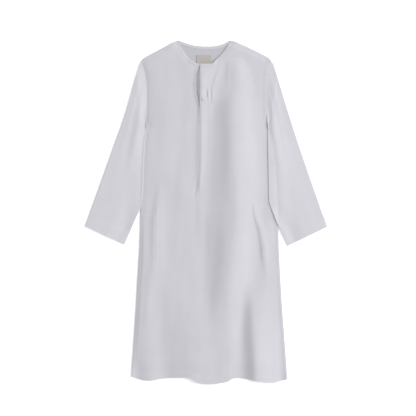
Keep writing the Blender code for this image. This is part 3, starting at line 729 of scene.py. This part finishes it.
STEPS_ACROSS = 5
BAND_STEPS = 10
STEPS_UP = 8
xa, ya = body_grid(NECK_RIGHT, fine_top(NECK_RIGHT, NECK_RIGHT_POINT, STEPS_ACROSS),
                   side_right, slit_right_edge, STEPS_UP)
xb, yb = body_grid(NECK_LEFT[:3], fine_top(NECK_LEFT[:3], None, BAND_STEPS),
                   slit_left_edge, band_edge, STEPS_UP)
xc, yc = body_grid(NECK_LEFT[2:], fine_top(NECK_LEFT[2:], NECK_LEFT_POINT - 2, STEPS_ACROSS),
                   band_edge, side_left, STEPS_UP)
xb = np.hstack([xb, xc[:, 1:]])
yb = np.hstack([yb, yc[:, 1:]])
foot = int(np.argmin(np.abs(yb[:, 0] - SLIT_FOOT_Y)))
xa[:foot + 1, -1] = xb[:foot + 1, 0]
ya[:foot + 1, -1] = yb[:foot + 1, 0]
index_a = np.arange(xa.size).reshape(xa.shape)
index_b = np.arange(xb.size).reshape(xb.shape) + xa.size
index_b[:foot + 1, 0] = index_a[:foot + 1, -1]
front_x = np.concatenate([xa.ravel(), xb.ravel()])
front_y = np.concatenate([ya.ravel(), yb.ravel()])
front_points = np.stack([front_x, front_y, front_face(front_x, front_y)], axis=1)
front_quads = np.vstack([grid_quads(index_a), grid_quads(index_b)])
used = np.zeros(len(front_points), dtype=bool)
used[front_quads.ravel()] = True
renumber = np.cumsum(used) - 1
front = cloth_mesh("front_cloth", front_points[used], renumber[front_quads],
                   front_points[used][:, :2], poplin, CLOTH)
print("front faces:", len(front_quads))

# %% [markdown]
# The back lies flat on the table and shows only inside the neck and past the
# hem. A narrow strip of the same cloth binds its neck edge on the inside. Both
# are plain grids, because nothing lifts them.

# %% Back panel and its neck binding
back_x, back_y = body_grid(BACK_TOP, fine_top(BACK_TOP, None, 4), side_right, side_left, 3,
                           hem_drop=1.5)
back_z = np.full_like(back_x, CLOTH)
# the back's cloth is the darker copy of the poplin: painted shade
back = grid_cloth("back_cloth", back_x, back_y, back_z, poplin_painted_shade, CLOTH)


BACK_BINDING_CLOTH = 0.25
BACK_BINDING_HEIGHT = 0.45


def back_binding(edge_x, edge_y, width, steps=9):
    """Narrow sewn strip below an edge line, rounded over its width."""
    share = np.linspace(0.0, 1.0, steps)[:, None]
    x = np.repeat(edge_x[None, :], steps, axis=0)
    y = edge_y - share * width
    crown = np.sqrt(np.maximum(0.0, 1.0 - np.abs(2.0 * share - 1.0) ** 5))
    z = CLOTH + LAYER_GAP + BACK_BINDING_CLOTH + (BACK_BINDING_HEIGHT - BACK_BINDING_CLOTH) * crown
    z = np.repeat(z, x.shape[1], axis=1)
    return grid_cloth("neck_binding_back", x[::-1], y[::-1], z[::-1], poplin_band,
                      BACK_BINDING_CLOTH)


neck_x = np.linspace(-101.0, 88.0, 100)
back_curve = fine_top(BACK_TOP, None, 8)
neck_y = np.interp(neck_x, back_curve[:, 0], back_curve[:, 1]) - 0.8
front_edge = np.interp(neck_x, [p[0] for p in NECK_RIGHT + NECK_LEFT],
                       [p[1] for p in NECK_RIGHT + NECK_LEFT])
neck_width = np.minimum(BINDING_WIDTH, neck_y - front_edge - 2.0)
neck_back = back_binding(neck_x, neck_y, neck_width)
print("back faces:", (back_x.shape[0] - 1) * (back_x.shape[1] - 1))

# %% [markdown]
# The neck edge of the front is bound too, and two bands finish the slit. The
# binding and the over band repeat the panel's own points, lifted off it by a
# few hundredths of a millimetre, so they bend exactly with it. A separate
# strip would have to be pressed down on the panel and could sink into it.


# %% Neck binding and the bands of the slit
def lifted(name, x, y, base, height, finish, thickness, fade=0.0):
    """Band that repeats a part of the panel's grid a little above it.

    Its face is rounded at its edges, and fades down towards its last column.
    """
    rows = np.linspace(0.0, 1.0, x.shape[0])[:, None]
    cols = np.linspace(0.0, 1.0, x.shape[1])[None, :]
    round_rows = 1.0 - np.abs(2.0 * rows - 1.0) ** 8
    round_cols = 1.0 - np.abs(2.0 * cols - 1.0) ** 14
    crown = np.minimum(round_rows, round_cols)
    if fade:
        crown = crown * smooth(cols / 0.22) * smooth((1.0 - cols) / fade)
    z = base + LAYER_GAP + thickness + (height - thickness) * crown
    return grid_cloth(name, x, y, z, finish, thickness)


def finer_rows(a, times):
    """Straight lines between the first and the last row, split evenly."""
    t = np.linspace(0.0, 1.0, times)[:, None]
    return a[0] + t * (a[-1] - a[0])


BINDING_HEIGHT = 0.4
BINDING_CLOTH = 0.2
BINDING_ROWS = 11


def neck_binding(name, x, y, columns):
    """Binding on the last rows of some columns of the front's grid, and its points."""
    x = finer_rows(x[-STEPS_UP - 1:, columns], BINDING_ROWS)
    y = finer_rows(y[-STEPS_UP - 1:, columns], BINDING_ROWS)
    piece = lifted(name, x, y, front_face(x, y), BINDING_HEIGHT, poplin_band, BINDING_CLOTH)
    return piece, x, y


band_cols = 2 * BAND_STEPS + 1
neck_right, top_a_x, top_a_y = neck_binding(
    "neck_binding_right", xa, ya, slice(NECK_RIGHT_POINT * STEPS_ACROSS, None))
neck_left, top_b_x, top_b_y = neck_binding(
    "neck_binding_left", xb, yb, slice(0, band_cols + (NECK_LEFT_POINT - 2) * STEPS_ACROSS))

OVER_BAND_HEIGHT = 0.9
OVER_BAND_CLOTH = 0.15
over_x = xb[foot:-STEPS_UP, :band_cols]
over_y = yb[foot:-STEPS_UP, :band_cols].copy()
over_y[-1] -= SEAM_GAP
over_z = front_face(over_x, over_y)
placket_over = lifted("placket_over_cloth", over_x, over_y, over_z, OVER_BAND_HEIGHT,
                      poplin_band, OVER_BAND_CLOTH, fade=0.9)
print("over band rows:", over_x.shape[0])

# %% [markdown]
# The under band lies behind the slit and shows in its gap. It climbs there
# from the back towards the over band's edge, so the gap gets darker to one
# side, as a lapped opening does.

# %% Under band of the slit
UNDER_BAND_CLOTH = 0.8
UNDER_BAND_LAP = 13.0
UNDER_BAND_STEPS = 41
BELOW_FRONT = SEAM_GAP + 0.2
PAST_EDGE = 0.5

row_y = yb[foot + 8:, 0]
left_edge = slit_right_edge(row_y) - UNDER_BAND_LAP
right_edge = band_edge(row_y)
share = np.linspace(0.0, 1.0, UNDER_BAND_STEPS)
under_x = left_edge[:, None] + share * (right_edge - left_edge)[:, None]
under_y = np.repeat(row_y[:, None], UNDER_BAND_STEPS, axis=1)
under_top = front_under(under_x, under_y) - BELOW_FRONT
floor_top = CLOTH + SEAM_GAP + BACK_TRIM + SEAM_GAP + 1.0
gap_left = slit_right_edge(under_y)
gap_right = slit_left_edge(under_y)
edge_z = front_under(gap_right + PAST_EDGE, under_y) - BELOW_FRONT
climb = np.clip((under_x - gap_left) / np.maximum(gap_right - gap_left, 0.5), 0.0, 1.0)
in_gap = floor_top + (edge_z - floor_top) * climb**0.8
before_gap = np.minimum(under_top, floor_top + 0.6)
under_z = np.where(under_x > gap_left, in_gap, before_gap)
under_z = np.where(under_x < gap_right + PAST_EDGE, under_z, under_top)
placket_under = grid_cloth("placket_under_cloth", under_x, under_y, under_z, poplin_band,
                           UNDER_BAND_CLOTH)
print("under band rows:", under_x.shape[0])

# %% [markdown]
# A small woven label is sewn inside the back neck. It is left bare. It is a
# grid like the panels, with soft edges and the faint ripple that sewing gives.

# %% Label
LABEL_CLOTH = 0.7
label_x, label_y = np.meshgrid(np.linspace(*LABEL_X, 40), np.linspace(*LABEL_Y, 30))
edge = np.minimum(label_x - LABEL_X[0], LABEL_X[1] - label_x)
edge = np.minimum(edge, LABEL_Y[1] - label_y)
label_z = CLOTH + SEAM_GAP + 0.75 + 0.25 * smooth(edge / 1.5)
label_z = label_z + 0.10 * np.sin(label_x / 8.0) * np.sin(label_y / 11.0)
label = grid_cloth("label_tape", label_x, label_y, label_z, label_tape, LABEL_CLOTH)
print("label:", LABEL_X[1] - LABEL_X[0], "by", LABEL_Y[1] - LABEL_Y[0], "mm")

# %% [markdown]
# Each side pocket hangs behind the front, and its mouth is a narrow stitched
# lip. The lip is a thin strip along the mouth's line that stands on the front.


# %% Pocket lips
LIP_CLOTH = 0.15
LIP_STEPS = 9


def mouth_line(table, y):
    """X of a pocket's mouth at each y: the mean of nine neighbours."""
    x = np.pad(column(table, 0, 1, y), 4, mode="edge")
    return np.convolve(x, np.ones(9) / 9.0, mode="valid")


def pocket_lip(name, table, points=70):
    """Narrow strip along a pocket mouth, standing on the front's face."""
    y = np.linspace(table[-1][0], table[0][0], points)
    share = np.linspace(-0.5, 0.5, LIP_STEPS)
    gx = mouth_line(table, y)[:, None] + share * LIP_WIDTH
    gy = np.repeat(y[:, None], LIP_STEPS, axis=1)
    ends = np.minimum(np.linspace(0.0, 1.0, points), np.linspace(1.0, 0.0, points)) * 2.0
    round_ends = smooth(np.minimum(1.0, ends * 14.0))[:, None]
    crown = 1.0 - np.abs(2.0 * share) ** 2.5
    gz = front_face(gx, gy) + LAYER_GAP + LIP_CLOTH + 0.2 * crown * round_ends
    return grid_cloth(name, gx, gy, gz, poplin_band, LIP_CLOTH)


lip_right = pocket_lip("pocket_lip_right", LIP_RIGHT)
lip_left = pocket_lip("pocket_lip_left", LIP_LEFT)
print("pocket lips:", lip_right.name, lip_left.name)

# %% [markdown]
# A sleeve is a flat tube: two layers joined at two folds. Its head is sewn to
# the armhole, its lower fold lies on the body's side, and its end is a deep
# turned cuff. A few soft creases run along it. The tube is worked out ring by
# ring from a table, because two flat sheets would show an open edge.


# %% Sleeves
def lift_over_body(x, y, sign):
    """Height of what lies under a sleeve where it crosses the body's side.

    The body's thickness there, times a soft step into the body and one that
    fades it out above the underarm.
    """
    inside = (x - side_at(y, sign)) * -sign
    full = 2.0 * CLOTH + SEAM_GAP + PANEL_LIFT * side_rise(inside) + 0.4
    return full * smooth((inside + 60.0) / 61.0) * smooth((UNDERARM_Y + 80.0 - y) / 79.0)


# share along, share across, height, run along, run across, slant
SLEEVE_CREASES = [
    (0.16, 0.52, 0.8, 0.20, 0.18, 0.55), (0.30, 0.28, 0.6, 0.26, 0.12, 0.30),
    (0.46, 0.62, 0.7, 0.24, 0.14, -0.20), (0.63, 0.36, 0.6, 0.22, 0.13, 0.25),
    (0.80, 0.66, 0.5, 0.18, 0.12, -0.35), (0.88, 0.24, 0.4, 0.12, 0.10, 0.20),
    (0.10, 0.22, 0.5, 0.10, 0.10, 0.70), (0.09, 0.74, -0.4, 0.08, 0.12, -0.60),
]


def sleeve_relief(t, u, reach, turn):
    """Soft creases, the step of the cuff hem and small puckers along it."""
    total = np.zeros_like(t * u)
    for along, across, height, run_t, run_u, slant in SLEEVE_CREASES:
        across = across + turn * 0.06
        off_t = (t - along) / run_t
        off_u = (u - across - slant * (t - along)) / run_u
        total = total + height * np.exp(-off_t**2 - off_u**2)
    step = 0.6 * smooth((CUFF_DEPTH + 1.5 - reach) / 3.0)
    groove = -0.4 * np.exp(-((reach - CUFF_DEPTH + STITCH_INSET) / 1.8) ** 2)
    pucker = 0.16 * np.sin(math.tau * u * 15.0 + 0.12 * reach) * np.exp(-((reach - 20.0) / 13.0)**2)
    return total + step + groove + pucker


def fold_to_fold(table, t):
    """Width of the flat tube at ring t, from its outer to its inner fold."""
    return np.hypot(column(table, 0, 3, t) - column(table, 0, 1, t),
                    column(table, 0, 4, t) - column(table, 0, 2, t))


def sleeve_points(table, sign, t, run, kind):
    """Points of the tube at ring t and distance run from the outer fold.

    Half the height times the root of one less the squared distance into the
    rounded edge, above and below the middle, plus the lift over the body.
    """
    ox, oy = column(table, 0, 1, t), column(table, 0, 2, t)
    ix, iy = column(table, 0, 3, t), column(table, 0, 4, t)
    width = fold_to_fold(table, t)
    u = run / width
    x = ox + (ix - ox) * u
    y = oy + (iy - oy) * u
    bend = 1.0 - smooth(t / 0.12)
    head_x = table[0][1] + (table[0][3] - table[0][1]) * u
    head_y = table[0][2] + (table[0][4] - table[0][2]) * u
    side = side_at(head_y, sign) + sign * SLEEVE_CLEAR
    x = x + (side - head_x) * bend
    clear = side_at(y, sign) + sign * SLEEVE_CLEAR
    hold = smooth((y - UNDERARM_Y + 1.0) / 6.0)
    x = x + hold * (sign * np.maximum(sign * x, sign * clear) - x)
    edge = np.minimum(run, width - run)
    grow = 1.0 - np.minimum(edge, SLEEVE_EDGE_ROUND) / SLEEVE_EDGE_ROUND
    half = SLEEVE_HEIGHT / 2 - SLEEVE_INNER_SLIM * smooth(2.0 * u - 1.0) * (1.0 - bend)
    half = half - SLEEVE_HEAD_SLIM * (1.0 - smooth(t / 0.13))
    half = np.maximum(half - SLEEVE_CUFF_SLIM * smooth((t - 0.75) / 0.25), SLEEVE_LEAST_HALF)
    rise = half * np.sqrt(np.maximum(0.0, 1.0 - grow * grow))
    z = lift_over_body(x, y, sign) + half + kind * rise
    reach = (1.0 - t) * SLEEVE_LENGTH * SLEEVE_MEAN_SHARE
    calm = smooth(edge / 14.0) * (kind > 0)
    z = z + calm * sleeve_relief(t, u, reach, sign)
    return x, y, z


def sleeve_grid(table, sign, rings=170, middle=44):
    """Rings of the whole tube: upper layer out to in, lower layer back."""
    t = (np.linspace(0.0, 1.0, rings) ** 1.15)[:, None]
    width = fold_to_fold(table, t)
    round_part = SLEEVE_EDGE_ROUND * (1.0 - np.cos(np.linspace(0.0, math.pi / 2, 7)))
    mid = np.linspace(0.0, 1.0, middle)[1:-1]
    runs = np.hstack([np.repeat(round_part[None, :], rings, axis=0),
                      SLEEVE_EDGE_ROUND + mid * (width - 2 * SLEEVE_EDGE_ROUND),
                      width - round_part[::-1]])
    upper = sleeve_points(table, sign, t, runs, 1.0)
    back_runs = runs[:, ::-1][:, 1:-1]
    lower = sleeve_points(table, sign, t, back_runs, -1.0)
    x = np.hstack([upper[0], lower[0]])
    y = np.hstack([upper[1], lower[1]])
    z = np.hstack([upper[2], lower[2]])
    flat_v = np.hstack([runs, 2.0 * width - back_runs])
    flat_u = np.repeat(t * SLEEVE_LENGTH, flat_v.shape[1], axis=1)
    return x, y, z, flat_u, flat_v


def make_sleeve(name, table, sign):
    """Closed tube of cloth; the last column joins the first."""
    x, y, z, flat_u, flat_v = sleeve_grid(table, sign)
    index = np.arange(x.size).reshape(x.shape)
    index = np.hstack([index, index[:, :1]])
    quads = grid_quads(index)
    if sign < 0:
        quads = quads[:, ::-1]
    points = np.stack([x.ravel(), y.ravel(), z.ravel()], axis=1)
    flat = np.stack([flat_u.ravel(), flat_v.ravel()], axis=1)
    # the sleeves' cloth is the lighter copy of the poplin: painted light
    return cloth_mesh(name, points, quads, flat, poplin_painted_light, SLEEVE_CLOTH)


sleeve_right = make_sleeve("sleeve_right_cloth", SLEEVE_RIGHT, -1)
sleeve_left = make_sleeve("sleeve_left_cloth", SLEEVE_LEFT, 1)
print("sleeve faces:", len(sleeve_right.data.polygons))

# %% [markdown]
# One shirt button closes the slit at the chest. It has a raised rim, a dished
# middle and four holes, with thread crossed through them. All of that is one
# height over a round grid, so no holes have to be cut.


# %% Button
BUTTON_SEAT = 1.2
HOLE_PLACE = 1.05
HOLE_RADIUS = 0.78


def make_button(rings=34, sides=96):
    """Disc as a height over a round grid: rim, dish and four pits."""
    seat = float(front_face(np.array([BUTTON_CENTRE[0]]), np.array([BUTTON_CENTRE[1]]))[0])
    seat = seat + BUTTON_SEAT
    share = np.linspace(0.0, 1.0, rings)[1:, None] ** 0.8
    angle = np.linspace(0.0, math.tau, sides, endpoint=False)[None, :]
    radius = BUTTON_RADIUS * share
    x = radius * np.cos(angle)
    y = radius * np.sin(angle)
    rim = BUTTON_HEIGHT * (0.62 + 0.36 * np.exp(-((share - 0.86) / 0.085) ** 2))
    z = np.where(share > 0.86, np.minimum(rim, BUTTON_HEIGHT * 0.98), rim)
    z = z * np.sqrt(np.maximum(0.0, 1.0 - np.maximum(0.0, (share - 0.93) / 0.075) ** 2) * 0.75 + 0.25)
    for hx, hy in ((1, 1), (-1, 1), (-1, -1), (1, -1)):
        away = np.hypot(x - hx * HOLE_PLACE, y - hy * HOLE_PLACE)
        z = z - 1.1 * smooth((HOLE_RADIUS - away) / 0.25)
    x, y, z = np.broadcast_arrays(x, y, z)
    points = np.stack([(x + BUTTON_CENTRE[0]).ravel(), (y + BUTTON_CENTRE[1]).ravel(),
                       (z + seat).ravel()], axis=1)
    base = points[-sides:].copy()
    base[:, 2] = seat
    inner = base.copy()
    inner[:, :2] = (base[:, :2] - BUTTON_CENTRE) * 0.8 + BUTTON_CENTRE
    under = np.array([[BUTTON_CENTRE[0], BUTTON_CENTRE[1], seat]])
    over = under + np.array([[0.0, 0.0, 0.62 * BUTTON_HEIGHT]])
    points = np.vstack([points, base, inner, under, over])
    index = np.arange((rings + 1) * sides).reshape(rings + 1, sides)
    index = np.hstack([index, index[:, :1]])
    quads = grid_quads(index)[:, ::-1]
    last = len(points) - 2
    mesh = bpy.data.meshes.new("shirt_button")
    faces = [tuple(int(k) for k in q) for q in quads]
    faces += [(int(index[-1, k + 1]), int(index[-1, k]), last) for k in range(sides)]
    faces += [(int(index[0, k]), int(index[0, k + 1]), last + 1) for k in range(sides)]
    mesh.from_pydata([tuple(p * MM) for p in points], [], faces)
    mesh.validate()
    return placed("shirt_button", mesh, button_resin), seat


button, button_seat = make_button()
print("button sits at", round(button_seat, 1), "mm")

# %% [markdown]
# Stitches are short raised dashes of thread, about 3 mm apart, laid along a
# line of points on the cloth. They could be a picture on the cloth, but then
# they would cast no shadow. One mesh holds all the stitches of one piece.


# %% Stitches
def points_at(reach, line, at):
    """Points of a line at some distances along it."""
    return np.stack([np.interp(at, reach, line[:, k]) for k in range(3)], axis=1)


def dashes(name, lines, length=2.4, pitch=3.2, thick=0.42):
    """Spindle-shaped dashes along lines of points, joined in one mesh."""
    points = []
    faces = []
    for line in lines:
        line = np.asarray(line, dtype=float)
        step = np.linalg.norm(np.diff(line, axis=0), axis=1)
        reach = np.concatenate([[0.0], np.cumsum(step)])
        count = int(reach[-1] // pitch)
        start = (np.arange(count) + 0.5) * reach[-1] / count
        middle = points_at(reach, line, start)
        along = points_at(reach, line, start + 0.5) - points_at(reach, line, start - 0.5)
        along = along / np.linalg.norm(along, axis=1)[:, None]
        side = np.cross(along, [0.0, 0.0, 1.0])
        side = side / np.linalg.norm(side, axis=1)[:, None]
        up = np.cross(side, along)
        for m, a, s, u in zip(middle, along, side, up):
            first = len(points)
            points.append(m - a * length / 2)
            for shift in (-0.28, 0.28):
                for c in range(6):
                    w = math.tau * c / 6
                    ring = s * math.cos(w) * thick / 2 + u * math.sin(w) * thick / 2
                    points.append(m + a * length * shift + ring)
            points.append(m + a * length / 2)
            for c in range(6):
                n = (c + 1) % 6
                faces.append((first, first + 1 + c, first + 1 + n))
                faces.append((first + 1 + c, first + 7 + c, first + 7 + n, first + 1 + n))
                faces.append((first + 13, first + 7 + n, first + 7 + c))
    mesh = bpy.data.meshes.new(name)
    mesh.from_pydata([tuple(float(v) * MM for v in p) for p in points], [], faces)
    return placed(name, mesh, thread)


def on_front(x, y, lift=0.1):
    """Line of points on the front's outer face."""
    x, y = np.broadcast_arrays(np.asarray(x, dtype=float), np.asarray(y, dtype=float))
    return np.stack([x, y, front_face(x, y) + lift], axis=1)


hem_x = np.linspace(-276.0, 301.0, 240)
hem_stitches = dashes("hem_stitches", [on_front(hem_x, hem_line(hem_x) + HEM_DEPTH - STITCH_INSET)])

band_y = np.linspace(84.0, 541.0, 200)
over_lift = LAYER_GAP + OVER_BAND_HEIGHT + 0.05
neck_lift = LAYER_GAP + BINDING_HEIGHT + 0.05
placket_lines = [on_front(slit_left_edge(band_y) + 5.0, band_y, over_lift - 0.15),
                 on_front(band_edge(band_y) - 3.0, band_y, LAYER_GAP + 0.3)]
foot_line_x = np.linspace(-25.0, -12.5, 8)
placket_lines.append(on_front(foot_line_x, np.full(8, 88.0), over_lift))
placket_stitches = dashes("placket_stitches", placket_lines)

neck_lines = []
for gx, gy in ((top_a_x, top_a_y), (top_b_x, top_b_y)):
    line = on_front(gx[2], gy[2], neck_lift)
    neck_lines.append(line[2:-2])
front_neck_stitches = dashes("front_neck_stitches", neck_lines)
back_line = np.stack([neck_x, neck_y - neck_width + 1.8,
                      np.full_like(neck_x, CLOTH + LAYER_GAP + 0.5)], axis=1)
back_neck_stitches = dashes("back_neck_stitches", [back_line[6:-6]])


def lip_lines(table):
    """Two rows of stitches beside a pocket mouth."""
    y = np.linspace(table[-1][0] + 3.0, table[0][0] - 3.0, 90)
    x = mouth_line(table, y)
    return [on_front(x - 2.0, y, 0.45), on_front(x + 2.0, y, 0.45)]


lip_right_stitches = dashes("pocket_stitches_right", lip_lines(LIP_RIGHT))
lip_left_stitches = dashes("pocket_stitches_left", lip_lines(LIP_LEFT))


def cuff_line(table, sign):
    """Stitch line round the upper layer of a cuff hem."""
    t = 1.0 - (CUFF_DEPTH - STITCH_INSET) / (SLEEVE_LENGTH * SLEEVE_MEAN_SHARE)
    run = np.linspace(5.0, float(fold_to_fold(table, t)) - 5.0, 80)
    x, y, z = sleeve_points(table, sign, np.full(80, t), run, 1.0)
    return np.stack([x, y, z + 0.1], axis=1)


cuff_right_stitches = dashes("cuff_stitches_right", [cuff_line(SLEEVE_RIGHT, -1)])
cuff_left_stitches = dashes("cuff_stitches_left", [cuff_line(SLEEVE_LEFT, 1)])
LABEL_INSET = 1.3
left_x, right_x = LABEL_X[0] + LABEL_INSET, LABEL_X[1] - LABEL_INSET
top_y = LABEL_Y[1] - LABEL_INSET
label_edge = [(left_x, LABEL_Y[0]), (left_x, top_y), (right_x, top_y), (right_x, LABEL_Y[0])]
label_line = [(a, b, CLOTH + SEAM_GAP + 1.05) for a, b in label_edge]
label_stitches = dashes("label_stitches", [label_line], length=2.0, pitch=2.8, thick=0.3)
cross_z = button_seat + 1.5
left_x, right_x = BUTTON_CENTRE[0] - HOLE_PLACE, BUTTON_CENTRE[0] + HOLE_PLACE
low_y, high_y = BUTTON_CENTRE[1] - HOLE_PLACE, BUTTON_CENTRE[1] + HOLE_PLACE
cross = [[(left_x, low_y, cross_z), (right_x, high_y, cross_z)],
         [(left_x, high_y, cross_z + 0.2), (right_x, low_y, cross_z + 0.2)]]
button_thread = dashes("button_thread", cross, length=3.2, pitch=2.9, thick=0.6)

# %% [markdown]
# Each fine piece takes the place of its plain solid and rides on the same
# body.

# %% What replaces what
PIECES = [
    (front, "front", "cloth"), (back, "back", "cloth"),
    (sleeve_right, "sleeve_right", "cloth"), (sleeve_left, "sleeve_left", "cloth"),
    (placket_over, "placket_over", "cloth"), (placket_under, "placket_under", "cloth"),
    (neck_right, "neck_band_right", "cloth"), (neck_left, "neck_band_left", "cloth"),
    (neck_back, "neck_band_back", "cloth"), (lip_right, "pocket_welt_right", "cloth"),
    (lip_left, "pocket_welt_left", "cloth"), (label, "label", "label"),
    (button, "button", "button"),
]
for piece, node, slot_name in PIECES:
    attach(piece, "root")
    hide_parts(node)
STITCHES = [hem_stitches, placket_stitches, front_neck_stitches, back_neck_stitches,
            lip_right_stitches, lip_left_stitches, cuff_right_stitches, cuff_left_stitches,
            label_stitches]
for piece in STITCHES:
    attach(piece, "root")
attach(button_thread, "root")

print("pieces:", len(PIECES) + len(STITCHES) + 1)

# %% [markdown]
# The robe lies on a plain pale table under one large soft lamp at its upper
# right side and an even white sky, which keeps the shadows short and light.


# %% Table and light
TABLE_GLOW = 0.30
SKY_STRENGTH = 0.62
LAMP_PLACE = (12.0, 3.8, 6.2)
LAMP_SIZE = 11.0
LAMP_POWER = 2300.0


def make_floor():
    """Pale matt table top with a hardly visible grain and a faint glow of its own."""
    mesh = bpy.data.meshes.new("table_top")
    mesh.from_pydata([(-6, -6, 0), (6, -6, 0), (6, 6, 0), (-6, 6, 0)], [], [(0, 1, 2, 3)])
    mat, tree, shader = shader_of("white_table_top")
    place = add(tree, "ShaderNodeTexCoord").outputs["Object"]
    grain = add(tree, "ShaderNodeTexNoise", {"noise_dimensions": "3D"}, Vector=place, Scale=30.0)
    two_tone(tree, shader, grain.outputs[0], "#FDFDFD", "#FBFBFB")
    shader.inputs["Roughness"].default_value = 0.9
    shader.inputs["Specular IOR Level"].default_value = 0.1
    shader.inputs["Emission Color"].default_value = (1.0, 1.0, 1.0, 1.0)
    shader.inputs["Emission Strength"].default_value = TABLE_GLOW
    return placed("table_top", mesh, mat)


# a hair below the robe, so that the two faces don't fight in the picture
floor = make_floor()
floor.location.z = -0.0003

world = bpy.data.worlds.new("even_sky")
world.use_nodes = True
sky = world.node_tree.nodes["Background"]
sky.inputs["Color"].default_value = (1.0, 1.0, 1.0, 1.0)
sky.inputs["Strength"].default_value = SKY_STRENGTH
bpy.context.scene.world = world


def soft_lamp(name, place, aim, size, power):
    """Square soft lamp at a place, turned towards the point it aims at."""
    data = bpy.data.lights.new(name, "AREA")
    data.shape = "SQUARE"
    data.size = size
    data.energy = power
    obj = bpy.data.objects.new(name, data)
    obj.location = place
    turn = (Vector(aim) - Vector(place)).to_track_quat("-Z", "Y")
    obj.rotation_euler = turn.to_euler()
    bpy.context.scene.collection.objects.link(obj)
    return obj


soft_lamp("soft_key", LAMP_PLACE, (0.0, 0.0, 0.0), LAMP_SIZE, LAMP_POWER)
bpy.context.scene.view_settings.view_transform = "Standard"
bpy.context.scene.view_settings.look = "None"
bpy.context.scene.view_settings.exposure = 0.0
print("lamp of", LAMP_POWER, "W, sky strength", SKY_STRENGTH)
